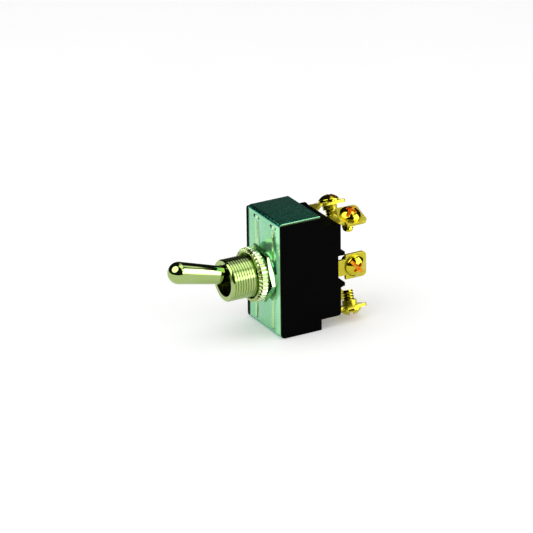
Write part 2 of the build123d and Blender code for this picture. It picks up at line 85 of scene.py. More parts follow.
class Side(Enum):
    """A pole of the switch, with the sign of X on its side."""

    LEFT = -1
    RIGHT = 1

    @property
    def word(self) -> str:
        """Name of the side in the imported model."""
        return self.name.lower()


class Level(Enum):
    """An end row of terminals, with the sign of Z on its side."""

    LOWER = -1
    UPPER = 1

    @property
    def word(self) -> str:
        """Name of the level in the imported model."""
        return self.name.lower()


class CoverCoat(IntEnum):
    """Finish of a face of the folded cover, in the order of its materials."""

    SHEET = 0
    # Painted reflections: lighter, warmer and cooler copies of the sheet on the grooves' flanks and the right
    # sheared edge.
    WARM = 1
    COOL = 2
    # Painted shade: a darker, bluer, fully metallic copy of the sheet on the flanges.
    FLANGE = 3
    # Painted highlight: a near-white copy of the sheet on the lances' bridges.
    BRIDGE = 4


class TurnedCoat(IntEnum):
    """Finish of a face of a turned piece, in the order of its materials."""

    MAIN = 0
    # Painted shade: a darker finish in the bushing's mouth, on the face nut's front and in the screws'
    # recesses.
    SECOND = 1


class Wiring:
    """A node material while it is being wired."""

    def __init__(self, name: str) -> None:
        """Start an empty material.

        Args:
            name: Name of the material.
        """
        self.material = bpy.data.materials.new(name)
        self.material.use_nodes = True
        self.tree = self.material.node_tree
        self.tree.nodes.clear()
        self.output = self.tree.nodes.new("ShaderNodeOutputMaterial")

    def add(self, kind: str, **settings: Any) -> bpy.types.Node:
        """Add a node.

        Args:
            kind: Blender's name of the node type.
            settings: Properties to set on the node.

        Returns:
            The new node.
        """
        node = self.tree.nodes.new(kind)
        for key, value in settings.items():
            setattr(node, key, value)
        return node

    def wire(self, source: bpy.types.NodeSocket, target: bpy.types.NodeSocket) -> None:
        """Link one socket to another."""
        self.tree.links.new(source, target)

    def place(
        self, centre: Sequence[float] = (0, 0, 0), turn: Sequence[float] = (0, 0, 0)
    ) -> bpy.types.NodeSocket:
        """Object coordinates in millimetres about a centre.

        Args:
            centre: Centre of the pattern, in millimetres.
            turn: Turn of the pattern's frame, as Euler angles in radians.

        Returns:
            The socket that carries the coordinates.
        """
        source = self.add("ShaderNodeTexCoord")
        mapping = self.add("ShaderNodeMapping", vector_type="TEXTURE")
        mapping.inputs["Location"].default_value = Vector(centre) * MM
        mapping.inputs["Rotation"].default_value = turn
        mapping.inputs["Scale"].default_value = (MM, MM, MM)
        self.wire(source.outputs["Object"], mapping.inputs["Vector"])
        return mapping.outputs["Vector"]

    def noise(self, where: bpy.types.NodeSocket, scale: float, detail: float = 3.0) -> bpy.types.NodeSocket:
        """Noise over the coordinates.

        Args:
            where: Socket with the coordinates.
            scale: Grains in a millimetre.
            detail: Octaves of the noise.

        Returns:
            The socket with the noise's value.
        """
        noise = self.add("ShaderNodeTexNoise")
        noise.inputs["Scale"].default_value = scale
        noise.inputs["Detail"].default_value = detail
        self.wire(where, noise.inputs["Vector"])
        return noise.outputs["Fac"]

    def spread(self, value: bpy.types.NodeSocket, low: float, high: float) -> bpy.types.NodeSocket:
        """Map a noise value to a range.

        Args:
            value: Socket with the noise.
            low: Result where the noise is weak.
            high: Result where the noise is strong.

        Returns:
            The socket with the mapped value.
        """
        node = self.add("ShaderNodeMapRange")
        node.inputs["From Min"].default_value, node.inputs["From Max"].default_value = SPREAD_NOISE
        node.inputs["To Min"].default_value = low
        node.inputs["To Max"].default_value = high
        self.wire(value, node.inputs["Value"])
        return node.outputs["Result"]

    def blend(self, value: bpy.types.NodeSocket, first: Colour, second: Colour) -> bpy.types.NodeSocket:
        """Blend two colours by a noise value.

        Args:
            value: Socket with the noise.
            first: Colour where the noise is weak.
            second: Colour where the noise is strong.

        Returns:
            The socket with the colour.
        """
        ramp = self.add("ShaderNodeValToRGB")
        for end, noise, colour in zip(ramp.color_ramp.elements, BLEND_NOISE, (first, second)):
            end.position = noise
            end.color = (*colour, 1)
        self.wire(value, ramp.inputs["Fac"])
        return ramp.outputs["Color"]

    def bump(self, height: bpy.types.NodeSocket, depth: float) -> bpy.types.NodeSocket:
        """Turn a height into a bumped normal.

        Args:
            height: Socket with the height, from 0 to 1.
            depth: Depth of the relief, in millimetres.

        Returns:
            The socket with the normal.
        """
        node = self.add("ShaderNodeBump")
        node.inputs["Distance"].default_value = depth * MM
        self.wire(height, node.inputs["Height"])
        return node.outputs["Normal"]

    def surface(self, **values: Any) -> None:
        """Add the surface shader and wire it to the output.

        Args:
            values: Sockets of the shader, with spaces written as underscores, and a number, a
                colour or a socket for each.
        """
        shader = self.add("ShaderNodeBsdfPrincipled")
        for key, value in values.items():
            socket = shader.inputs[key.replace("_", " ")]
            if isinstance(value, bpy.types.NodeSocket):
                self.wire(value, socket)
            elif isinstance(value, tuple):
                socket.default_value = (*value, 1)
            else:
                socket.default_value = value
        self.wire(shader.outputs["BSDF"], self.output.inputs["Surface"])


@dataclass(frozen=True)
class PlatedMetal:
    """A bright plated or polished metal with fine handling marks.

    Attributes:
        name: Name of the material.
        colour: Main colour of the metal.
        second: Colour of its faint patches.
        roughness: Lowest and highest roughness.
        grain: Depth of the fine marks, in millimetres.
        patch: Patches in a millimetre.
        wear: Worn spots in a millimetre.
        marks: Fine marks in a millimetre.
    """

    name: str
    colour: Colour
    second: Colour
    roughness: tuple[float, float] = (0.06, 0.14)
    grain: float = 0.0008
    patch: float = 0.25
    wear: float = 1.7
    marks: float = 14.0

    def build(self) -> bpy.types.Material:
        """Build the material."""
        wiring = Wiring(self.name)
        where = wiring.place()
        patches = wiring.noise(where, self.patch)
        wear = wiring.noise(where, self.wear, detail=6.0)
        marks = wiring.noise(where, self.marks, detail=4.0)
        wiring.surface(
            Base_Color=wiring.blend(patches, self.colour, self.second),
            Metallic=1.0,
            Roughness=wiring.spread(wear, *self.roughness),
            Normal=wiring.bump(marks, self.grain),
        )
        return wiring.material


@dataclass(frozen=True)
class TurnedMetal:
    """A plated metal turned on a lathe, with rings left by the tool.

    Attributes:
        name: Name of the material.
        colour: Main colour of the metal.
        second: Colour of its faint patches.
        centre: A point on the axis of the lathe.
        turn: Turn that brings the pattern's Z onto the axis, as Euler angles in radians.
        roughness: Lowest and highest roughness.
        ring_depth: Depth of the rings, in millimetres.
        rings: Rings in a millimetre.
        patch: Patches in a millimetre.
        wear: Worn spots in a millimetre.
    """

    name: str
    colour: Colour
    second: Colour
    centre: tuple[float, float, float] = (0.0, 0.0, 0.0)
    turn: tuple[float, float, float] = (pi / 2, 0.0, 0.0)
    roughness: tuple[float, float] = (0.05, 0.12)
    ring_depth: float = 0.0008
    rings: float = 9.0
    patch: float = 0.3
    wear: float = 1.5

    def build(self) -> bpy.types.Material:
        """Build the material."""
        wiring = Wiring(self.name)
        where = wiring.place(self.centre, self.turn)
        parts = wiring.add("ShaderNodeSeparateXYZ")
        wiring.wire(where, parts.inputs["Vector"])
        across = wiring.add("ShaderNodeCombineXYZ")
        wiring.wire(parts.outputs["X"], across.inputs["X"])
        wiring.wire(parts.outputs["Y"], across.inputs["Y"])
        radius = wiring.add("ShaderNodeVectorMath", operation="LENGTH")
        wiring.wire(across.outputs["Vector"], radius.inputs["Vector"])
        ring_place = wiring.add("ShaderNodeCombineXYZ")
        wiring.wire(radius.outputs["Value"], ring_place.inputs["X"])
        wiring.wire(parts.outputs["Z"], ring_place.inputs["Z"])
        rings = wiring.noise(ring_place.outputs["Vector"], self.rings, detail=2.0)
        patches = wiring.noise(where, self.patch)
        wear = wiring.noise(where, self.wear, detail=6.0)
        wiring.surface(
            Base_Color=wiring.blend(patches, self.colour, self.second),
            Metallic=1.0,
            Roughness=wiring.spread(wear, *self.roughness),
            Normal=wiring.bump(rings, self.ring_depth),
        )
        return wiring.material


@dataclass(frozen=True)
class PlatedSheet:
    """A rolled, plated sheet with a faint grain along one direction.

    Attributes:
        name: Name of the material.
        colour: Main colour of the sheet.
        second: Colour of its faint patches.
        roughness: Lowest and highest roughness.
        grain: Depth of the rolling grain, in millimetres.
        metallic: Share of the mirror-like metal in the satin plate.
        edge: Where along X the sheet's painted light fades in, and where it is full, in millimetres, if it
            has one: a lighter, less mirror-like strip that stands in for reflected light.
        edge_colour: Colour of that painted light.
        edge_metallic: Share of the mirror-like metal there.
        stretch: Grains in a millimetre along each axis, fewer along the rolling.
        patch: Patches in a millimetre.
        wear: Worn spots in a millimetre.
    """

    name: str
    colour: Colour
    second: Colour
    roughness: tuple[float, float] = (0.09, 0.17)
    grain: float = 0.0010
    metallic: float = 0.68
    edge: tuple[float, float] | None = None
    edge_colour: Colour = (0.5, 0.5, 0.5)
    edge_metallic: float = 0.5
    stretch: tuple[float, float, float] = (6.0, 6.0, 0.25)
    patch: float = 0.18
    wear: float = 0.9

    def fade_edge(
        self, wiring: Wiring, where: bpy.types.NodeSocket, colour: bpy.types.NodeSocket
    ) -> dict[str, bpy.types.NodeSocket]:
        """Fade the sheet into a painted light: a lighter, less mirror-like strip along X that stands in for
        reflected light.

        Args:
            wiring: Material that is being wired.
            where: Socket with the coordinates.
            colour: Socket with the sheet's colour.

        Returns:
            The colour and the share of metal, by the names of the shader's sockets.
        """
        parts = wiring.add("ShaderNodeSeparateXYZ")
        wiring.wire(where, parts.inputs["Vector"])
        aside = wiring.add("ShaderNodeMapRange")
        aside.inputs["From Min"].default_value, aside.inputs["From Max"].default_value = self.edge
        wiring.wire(parts.outputs["X"], aside.inputs["Value"])
        share = wiring.add("ShaderNodeMapRange")
        share.inputs["To Min"].default_value = self.metallic
        share.inputs["To Max"].default_value = self.edge_metallic
        wiring.wire(aside.outputs["Result"], share.inputs["Value"])
        painted_light_tint = wiring.add("ShaderNodeMixRGB")
        painted_light_tint.inputs["Color2"].default_value = (*self.edge_colour, 1)
        wiring.wire(aside.outputs["Result"], painted_light_tint.inputs["Fac"])
        wiring.wire(colour, painted_light_tint.inputs["Color1"])
        return {"Base_Color": painted_light_tint.outputs["Color"], "Metallic": share.outputs["Result"]}

    def build(self) -> bpy.types.Material:
        """Build the material."""
        wiring = Wiring(self.name)
        where = wiring.place()
        stretch = wiring.add("ShaderNodeVectorMath", operation="MULTIPLY")
        stretch.inputs[1].default_value = self.stretch
        wiring.wire(where, stretch.inputs[0])
        rolled = wiring.noise(stretch.outputs["Vector"], 1.0, detail=4.0)
        patches = wiring.noise(where, self.patch)
        wear = wiring.noise(where, self.wear, detail=6.0)
        colour = wiring.blend(patches, self.colour, self.second)
        plain = {"Base_Color": colour, "Metallic": self.metallic}
        # Where the sheet has an edge, it fades into the painted light.
        coat = self.fade_edge(wiring, where, colour) if self.edge else plain
        wiring.surface(
            **coat,
            Roughness=wiring.spread(wear, *self.roughness),
            Normal=wiring.bump(rolled, self.grain),
        )
        return wiring.material


@dataclass(frozen=True)
class Moulding:
    """A moulded plastic with a fine grain and a slight sheen.

    Attributes:
        name: Name of the material.
        colour: Main colour.
        second: Colour of faint patches.
        roughness: Lowest and highest roughness.
        specular: Strength of the surface reflection.
        grain: Depth of the grain, in millimetres.
        flow: Patches in a millimetre, left by the flow of the plastic.
        fine: Grains in a millimetre.
    """

    name: str
    colour: Colour
    second: Colour
    roughness: tuple[float, float] = (0.3, 0.45)
    specular: float = 0.5
    grain: float = 0.002
    flow: float = 0.12
    fine: float = 7.0

    def build(self) -> bpy.types.Material:
        """Build the material."""
        wiring = Wiring(self.name)
        where = wiring.place()
        flow = wiring.noise(where, self.flow, detail=4.0)
        fine = wiring.noise(where, self.fine, detail=3.0)
        wiring.surface(
            Base_Color=wiring.blend(flow, self.colour, self.second),
            Roughness=wiring.spread(fine, *self.roughness),
            Specular_IOR_Level=self.specular,
            Normal=wiring.bump(fine, self.grain),
        )
        return wiring.material


class Finishes:
    """The finishes of the switch, built once.

    Attributes:
        lever: Polished plate of the lever.
        bushing: Turned plate of the bushing, also put on the face nut's front face and groove ends, where its
            darker tone is painted shade.
        nut: Lighter copy of the plate on the face nut's rim: painted light.
        bore: Dark finish inside the bushing's mouth: painted shade.
        hexagon: Plate of the hexagon nut.
        cover: Plated sheet of the cover, painted lighter and less mirror-like towards its right side as
            painted light.
        cover_warm: Lighter, warmer copy of the sheet on flanks that look right and on the right sheared edge:
            painted reflection.
        cover_cool: Lighter, cooler copy of the sheet on flanks that look left: painted reflection.
        cover_flange: Darker, bluer copy of the sheet on the flanges: painted shade.
        cover_bridge: Near-white copy of the sheet on the lances' bridges: painted highlight.
        case: Moulding of the case.
        brass: Stamped brass of the terminals.
        screw: Turned brass of the screws.
        recess: Darker orange-red brass in the screws' recesses: painted shade.
        silver: Contacts.
        rocker: Formed brass of the rockers.
        steel: Pivot pin and springs.
        fibre: Insulating card.
        nylon: Actuator and plungers.
    """

    def __init__(self) -> None:
        """Build every finish."""
        plate, plate_patch = (0.345, 0.47, 0.155), (0.38, 0.49, 0.19)
        # Lighter copy of the plate for the face nut's rim: painted light.
        nut, nut_patch = (0.64, 0.74, 0.43), (0.67, 0.75, 0.46)
        brass, brass_patch = (0.57, 0.52, 0.031), (0.55, 0.46, 0.027)
        tilt = radians(Lever.tilt)
        self.lever = TurnedMetal(
            "polished_plate",
            plate,
            plate_patch,
            centre=(0.0, Lever.pivot_y, 0.0),
            turn=(pi / 2 - tilt, 0.0, 0.0),
            roughness=(0.03, 0.07),
            ring_depth=0.0003,
        ).build()
        self.bushing = TurnedMetal("turned_plate", plate, plate_patch, roughness=(0.11, 0.18)).build()
        self.nut = TurnedMetal("nut_plate", nut, nut_patch, roughness=(0.08, 0.16), rings=5.0).build()
        # Dark finish inside the bushing's mouth: painted shade.
        self.bore = TurnedMetal(
            "turned_bore", (0.07, 0.075, 0.008), (0.1, 0.1, 0.012), roughness=(0.2, 0.3)
        ).build()
        self.hexagon = PlatedMetal("hexagon_plate", (0.33, 0.54, 0.26), (0.37, 0.56, 0.29)).build()
        # The sheet turns lighter and less mirror-like towards its right side, from X 5.4 mm: painted light.
        self.cover = PlatedSheet(
            "green_sheet",
            (0.26, 0.64, 0.36),
            (0.31, 0.70, 0.40),
            edge=(5.4, 7.2),
            edge_colour=(0.42, 0.96, 0.53),
            edge_metallic=0.36,
        ).build()
        # Lighter warm and cool copies of the sheet: painted reflections on flanks that look right and left.
        self.cover_warm = PlatedSheet("green_sheet_warm", (0.52, 0.86, 0.38), (0.46, 0.80, 0.38)).build()
        self.cover_cool = PlatedSheet("green_sheet_cool", (0.24, 0.78, 0.52), (0.22, 0.72, 0.48)).build()
        # Darker, bluer copy of the sheet on the flanges: painted shade.
        self.cover_flange = PlatedSheet(
            "green_sheet_flange", (0.12, 0.64, 0.42), (0.10, 0.58, 0.38), roughness=(0.20, 0.30), metallic=1.0
        ).build()
        # Near-white copy of the sheet on the lances' bridges: painted highlight.
        self.cover_bridge = PlatedSheet("green_sheet_bridge", (0.82, 0.94, 0.86), (0.80, 0.90, 0.82)).build()
        self.case = Moulding(
            "black_moulding", (0.0004, 0.0004, 0.0005), (0.0007, 0.0007, 0.0007), specular=0.02, grain=0.001
        ).build()
        self.brass = PlatedSheet(
            "stamped_brass", brass, brass_patch, roughness=(0.24, 0.36), metallic=0.76
        ).build()
        self.screw = PlatedMetal("turned_brass", brass, brass_patch, (0.05, 0.11)).build()
        # Darker orange-red brass in the screws' recesses: painted shade.
        self.recess = PlatedMetal("struck_recess", (0.80, 0.24, 0.02), (0.85, 0.34, 0.02), (0.2, 0.3)).build()
        self.silver = PlatedMetal("contact_silver", (0.78, 0.78, 0.76), (0.7, 0.69, 0.66)).build()
        self.rocker = PlatedSheet("formed_brass", (0.62, 0.42, 0.12), (0.56, 0.37, 0.1), metallic=1.0).build()
        self.steel = PlatedMetal("drawn_steel", (0.45, 0.45, 0.47), (0.38, 0.38, 0.4), (0.2, 0.3)).build()
        self.fibre = Moulding("fibre_card", (0.15, 0.06, 0.03), (0.19, 0.08, 0.04), (0.6, 0.75)).build()
        self.nylon = Moulding("natural_nylon", (0.72, 0.69, 0.6), (0.68, 0.64, 0.54)).build()


@dataclass(frozen=True)
class Place:
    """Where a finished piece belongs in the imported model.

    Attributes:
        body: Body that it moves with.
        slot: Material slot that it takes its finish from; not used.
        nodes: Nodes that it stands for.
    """

    body: str
    slot: str
    nodes: tuple[str, ...]


class Pen:
    """Draws a half profile in the XZ plane, as a chain of edges grown point by point."""

    def __init__(self, shell: bmesh.types.BMesh, radius: float, height: float) -> None:
        """Put the pen down.

        Args:
            shell: Mesh that the profile is drawn in.
            radius: Distance of the first point from the axis.
            height: Height of the first point along the axis.
        """
        self.shell = shell
        self.point = shell.verts.new((radius, 0.0, height))

    def line(self, radius: float, height: float) -> "Pen":
        """Draw a straight run to a point.

        Args:
            radius: Distance of the point from the axis.
            height: Height of the point along the axis.

        Returns:
            The pen.
        """
        grown = bmesh.ops.extrude_vert_indiv(self.shell, verts=[self.point])
        self.point = grown["verts"][0]
        self.point.co = (radius, 0.0, height)
        return self

    def arc(self, radius: float, height: float, angle: float, steps: int) -> "Pen":
        """Draw an arc about a centre.

        Args:
            radius: Distance of the arc's centre from the axis.
            height: Height of the arc's centre along the axis.
            angle: Angle of the arc in degrees, positive from the radius towards the height.
            steps: Edges in the arc.

        Returns:
            The pen.
        """
        grown = bmesh.ops.spin(
            self.shell,
            geom=[self.point],
            cent=(radius, 0.0, height),
            axis=(0.0, -1.0, 0.0),
            dvec=(0.0, 0.0, 0.0),
            angle=radians(angle),
            steps=steps,
            use_merge=False,
            use_duplicate=False,
        )
        self.point = next(item for item in grown["geom_last"] if isinstance(item, bmesh.types.BMVert))
        return self


def turn_profile(shell: bmesh.types.BMesh, steps: int) -> None:
    """Spin everything in the mesh about the Z axis and close the seam and the poles.

    Args:
        shell: Mesh with a half profile in the XZ plane.
        steps: Steps in the full turn.
    """
    bmesh.ops.spin(
        shell,
        geom=shell.verts[:] + shell.edges[:],
        cent=(0.0, 0.0, 0.0),
        axis=(0.0, 0.0, 1.0),
        dvec=(0.0, 0.0, 0.0),
        angle=tau,
        steps=steps,
        use_merge=True,
        use_duplicate=False,
    )
    bmesh.ops.remove_doubles(shell, verts=shell.verts[:], dist=MERGE)


def set_down(
    shell: bmesh.types.BMesh,
    name: str,
    finish: bpy.types.Material | Sequence[bpy.types.Material],
    place: Place,
    placement: Matrix | None = None,
    smooth: float = 35.0,
    mend_normals: bool = True,
) -> bpy.types.Object:
    """Finish a mesh as an object of the switch.

    Args:
        shell: Mesh in millimetres, which is freed.
        name: Name of the object.
        finish: Material of the object, or its materials in the order of the faces' numbers.
        place: Body, slot and nodes that it belongs to.
        placement: Turn and move into the part's frame, in millimetres.
        smooth: Largest angle that is shaded smooth, in degrees.
        mend_normals: Whether the faces are turned outward.

    Returns:
        The object, at the origin.
    """
    if placement:
        bmesh.ops.transform(shell, matrix=placement, verts=shell.verts[:])
    bmesh.ops.scale(shell, vec=(MM, MM, MM), verts=shell.verts[:])
    if mend_normals:
        bmesh.ops.recalc_face_normals(shell, faces=shell.faces[:])
    mesh = bpy.data.meshes.new(name)
    shell.to_mesh(mesh)
    shell.free()
    mesh.shade_smooth()
    mesh.set_sharp_from_angle(angle=radians(smooth))
    for material in [finish] if isinstance(finish, bpy.types.Material) else finish:
        mesh.materials.append(material)
    piece = bpy.data.objects.new(name, mesh)
    bpy.context.scene.collection.objects.link(piece)
    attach(piece, place.body)
    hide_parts(*place.nodes)
    log.info("%s: %d faces", name, len(mesh.polygons))
    return piece


def round_edges(piece: bpy.types.Object, width: float, angle: float = 30.0) -> None:
    """Round a piece's sharp edges.

    Args:
        piece: Object to finish.
        width: Width of the rounding, in millimetres.
        angle: Smallest angle of an edge that is rounded, in degrees.
    """
    rounding = piece.modifiers.new("rounded_edges", "BEVEL")
    rounding.width = width * MM
    rounding.segments = 2
    rounding.limit_method = "ANGLE"
    rounding.angle_limit = radians(angle)
    rounding.harden_normals = True


def merged_copy(node: str) -> bmesh.types.BMesh:
    """Copy a node's mesh with its corners merged and its flat faces joined.

    Args:
        node: Name of the node.

    Returns:
        The mesh, in millimetres.
    """
    shell = bmesh.new()
    shell.from_mesh(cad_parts[node].data)
    bmesh.ops.scale(shell, vec=(1 / MM, 1 / MM, 1 / MM), verts=shell.verts[:])
    bmesh.ops.remove_doubles(shell, verts=shell.verts[:], dist=MERGE)
    bmesh.ops.dissolve_limit(
        shell,
        angle_limit=radians(FLAT),
        use_dissolve_boundaries=False,
        verts=shell.verts[:],
        edges=shell.edges[:],
        delimit={"NORMAL"},
    )
    return shell


def wind_thread(
    root_r: float, crest_r: float, pitch: float, run: float, steps: int, crest: float = 0.17
) -> bmesh.types.BMesh:
    """Wind a thread about the Z axis, from the XY plane up, and cut it square at both ends.

    The first and last ridges sink to the root, as a die leaves them.

    Args:
        root_r: Radius at the root.
        crest_r: Radius at the crest.
        pitch: Distance between ridges.
        run: Length of the thread.
        steps: Steps in one turn.
        crest: Share of the pitch that the flat crest takes.

    Returns:
        The mesh.
    """
    crest_w = pitch * crest
    flank_w = (pitch - crest_w) / 2
    shell = bmesh.new()
    pen = Pen(shell, root_r, -2 * pitch)
    for ridge in range(int(run / pitch) + 3):
        foot = (ridge - 2) * pitch
        pen.line(crest_r, foot + flank_w).line(crest_r, foot + flank_w + crest_w)
        pen.line(root_r, foot + pitch)
    bmesh.ops.spin(
        shell,
        geom=shell.verts[:] + shell.edges[:],
        cent=(0.0, 0.0, 0.0),
        axis=(0.0, 0.0, 1.0),
        dvec=(0.0, 0.0, pitch / steps),
        angle=tau,
        steps=steps,
        use_merge=False,
        use_duplicate=False,
    )
    bmesh.ops.remove_doubles(shell, verts=shell.verts[:], dist=MERGE)
    for height, outward in ((0.0, -1.0), (run, 1.0)):
        bmesh.ops.bisect_plane(
            shell,
            geom=shell.verts[:] + shell.edges[:] + shell.faces[:],
            dist=MERGE,
            plane_co=(0.0, 0.0, height),
            plane_no=(0.0, 0.0, outward),
            clear_outer=True,
        )
    for point in shell.verts:
        radius = point.co.xy.length
        room = max(min(point.co.z, run - point.co.z), 0.0)
        point.co.xy *= min(radius, root_r + room) / radius
    bmesh.ops.recalc_face_normals(shell, faces=shell.faces[:])
    return shell


def join_shells(shell: bmesh.types.BMesh, other: bmesh.types.BMesh) -> None:
    """Add one mesh to another.

    Args:
        shell: Mesh that receives the other.
        other: Mesh that is added, and freed.
    """
    scrap = bpy.data.meshes.new("joined_shell")
    other.to_mesh(scrap)
    other.free()
    shell.from_mesh(scrap)
    bpy.data.meshes.remove(scrap)


def dress(finish: bpy.types.Material, *nodes: str) -> None:
    """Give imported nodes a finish.

    Args:
        finish: Material for the nodes.
        nodes: Names of the nodes.
    """
    for node in nodes:
        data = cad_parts[node].data
        data.materials.clear()
        data.materials.append(finish)


@dataclass
class Lever:
    """Bat lever with its neck, ball and tail, turned in one piece.

    Attributes:
        tilt: Tilt of the lever at rest, in degrees.
        pivot_y: Depth of its pivot.
        ball_r: Radius of the ball.
        neck_r: Radius of the neck.
        shoulder_start: Distance from the pivot beyond which the bat is lifted.
        shoulder_end: Distance from the pivot at which the shoulder is full.
        bat_base_r: Radius of the bat at the shoulder.
        bat_tip_r: Radius of the bat's round tip.
        bat_end: Distance of the tip from the pivot.
        bat_lift: Lift of the bat above the neck's line, in degrees.
        tail_r: Radius of the tail.
        tail_end: Distance of the tail's end from the pivot.
        tail_chamfer: Chamfer of the tail's end.
        steps: Steps in a turn.
    """

    tilt: float = 14.0
    pivot_y: float = -0.7
    ball_r: float = 3.5
    neck_r: float = 1.9
    shoulder_start: float = 6.7
    shoulder_end: float = 7.6
    bat_base_r: float = 2.56
    bat_tip_r: float = 3.13
    bat_end: float = 24.4
    bat_lift: float = 0.8
    tail_r: float = 2.0
    tail_end: float = 12.5976
    tail_chamfer: float = 0.2
    steps: int = 128

    def placement(self) -> Matrix:
        """Matrix from the lever's own axis, along Z from the pivot, to the part's frame."""
        return Matrix.Translation((0.0, self.pivot_y, 0.0)) @ Matrix.Rotation(
            radians(90.0 - self.tilt), 4, "X"
        )

    def build(self, finishes: Finishes) -> None:
        """Turn the lever and set it down.

        Args:
            finishes: Finishes of the switch.
        """
        shell = bmesh.new()
        ball_top = degrees(atan2(sqrt(self.ball_r**2 - self.neck_r**2), self.neck_r))
        ball_foot = degrees(atan2(-sqrt(self.ball_r**2 - self.tail_r**2), self.tail_r))
        shoulder_r = self.bat_base_r - self.neck_r
        pen = Pen(shell, 0.0, -self.tail_end)
        pen.line(self.tail_r - self.tail_chamfer, -self.tail_end)
        pen.line(self.tail_r, self.tail_chamfer - self.tail_end)
        pen.line(self.tail_r, -sqrt(self.ball_r**2 - self.tail_r**2))
        pen.arc(0.0, 0.0, ball_top - ball_foot, steps=24)
        pen.line(self.neck_r, self.shoulder_end - shoulder_r)
        pen.arc(self.neck_r, self.shoulder_end, 90.0, steps=6)
        pen.line(self.bat_tip_r, self.bat_end - self.bat_tip_r)
        pen.arc(0.0, self.bat_end - self.bat_tip_r, 90.0, steps=24)
        turn_profile(shell, self.steps)
        bmesh.ops.rotate(
            shell,
            cent=(0.0, 0.0, 0.0),
            matrix=Matrix.Rotation(radians(-self.bat_lift), 3, "X"),
            space=Matrix.Translation((0.0, 0.0, -self.shoulder_start)),
            verts=[point for point in shell.verts if point.co.z > self.shoulder_start],
        )
        place = Place("lever", "lever_plate", ("lever",))
        set_down(shell, "bat_lever", finishes.lever, place, self.placement(), smooth=40.0)


@dataclass
class Bushing:
    """Threaded bushing with a flange inside the case and a conical mouth round the lever.

    Attributes:
        thread_r: Radius over the thread.
        pitch: Pitch of the thread.
        thread_depth: Depth of the thread.
        thread_crest: Share of the pitch that its flat crest takes.
        free_thread: Length of the thread in front of the face nut.
        thread_end: Length of the thread under the face nut.
        mouth_r: Radius of the mouth.
        mouth_depth: Depth of its straight part.
        throat_r: Smallest radius of the bore.
        seat_r: Radius of the seat round the lever's ball.
        pivot_y: Depth of the lever's pivot.
        rear_bore_r: Radius of the bore behind the seat.
        flange_r: Radius of the flange.
        flange_start: Depth of the flange's front.
        flange_end: Depth of its rear.
        bore_shade_slack: How far outside the mouth's radius a face still takes the bore's painted shade.
        bore_shade_start: Depth from the tip at which the bore's painted shade begins.
        steps: Steps in a turn.
    """

    thread_r: float = 5.95
    pitch: float = 0.794
    thread_depth: float = 0.24
    thread_crest: float = 0.6
    free_thread: float = 7.5
    thread_end: float = 0.5
    mouth_r: float = 4.5
    mouth_depth: float = 1.2
    throat_r: float = 2.9
    seat_r: float = 3.6
    pivot_y: float = -0.7
    rear_bore_r: float = 4.6
    flange_r: float = 7.4
    flange_start: float = 6.2
    flange_end: float = 7.4
    bore_shade_slack: float = 0.05
    bore_shade_start: float = 0.3
    steps: int = 144

    def placement(self) -> Matrix:
        """Matrix from the bushing's own axis, with Z from the tip to the rear, to the part's frame."""
        return Matrix.Translation((0.0, -self.free_thread, 0.0)) @ Matrix.Rotation(radians(-90.0), 4, "X")

    def core(self) -> bmesh.types.BMesh:
        """Turn the body under the thread.

        Returns:
            The mesh, with its tip at the origin.
        """
        root_r = self.thread_r - self.thread_depth
        pivot = self.free_thread + self.pivot_y
        throat = pivot - sqrt(self.seat_r**2 - self.throat_r**2)
        chamber_end = pivot + self.seat_r
        seat_angle = degrees(asin((pivot - throat) / self.seat_r))
        shell = bmesh.new()
        start = Pen(shell, root_r, 0.0)
        first = start.point
        pen = start.line(self.mouth_r, 0.0).line(self.mouth_r, self.mouth_depth)
        pen.line(self.throat_r, throat)
        pen.arc(0.0, pivot, seat_angle, steps=16)
        pen.line(self.seat_r, chamber_end).line(self.rear_bore_r, chamber_end)
        pen.line(self.rear_bore_r, self.free_thread + self.flange_end)
        pen.line(self.flange_r, self.free_thread + self.flange_end)
        pen.line(self.flange_r, self.free_thread + self.flange_start)
        pen.line(root_r, self.free_thread + self.flange_start)
        shell.edges.new((pen.point, first))
        turn_profile(shell, self.steps)
        return shell

    def build(self, finishes: Finishes) -> None:
        """Build the body and its thread and set them down.

        Args:
            finishes: Finishes of the switch.
        """
        shell = self.core()
        bmesh.ops.recalc_face_normals(shell, faces=shell.faces[:])
        # Faces inside the mouth take the dark finish: painted shade.
        for face in shell.faces:
            middle = face.calc_center_median()
            inside = middle.xy.length < self.mouth_r + self.bore_shade_slack and middle.z > self.bore_shade_start
            face.material_index = TurnedCoat.SECOND if inside else TurnedCoat.MAIN
        root_r = self.thread_r - self.thread_depth
        run = self.free_thread + self.thread_end
        thread = wind_thread(root_r, self.thread_r, self.pitch, run, self.steps, self.thread_crest)
        join_shells(shell, thread)
        coats = (finishes.bushing, finishes.bore)
        place = Place("housing", "bushing_plate", ("bushing",))
        set_down(shell, "threaded_bushing", coats, place, self.placement(), smooth=30.0, mend_normals=False)


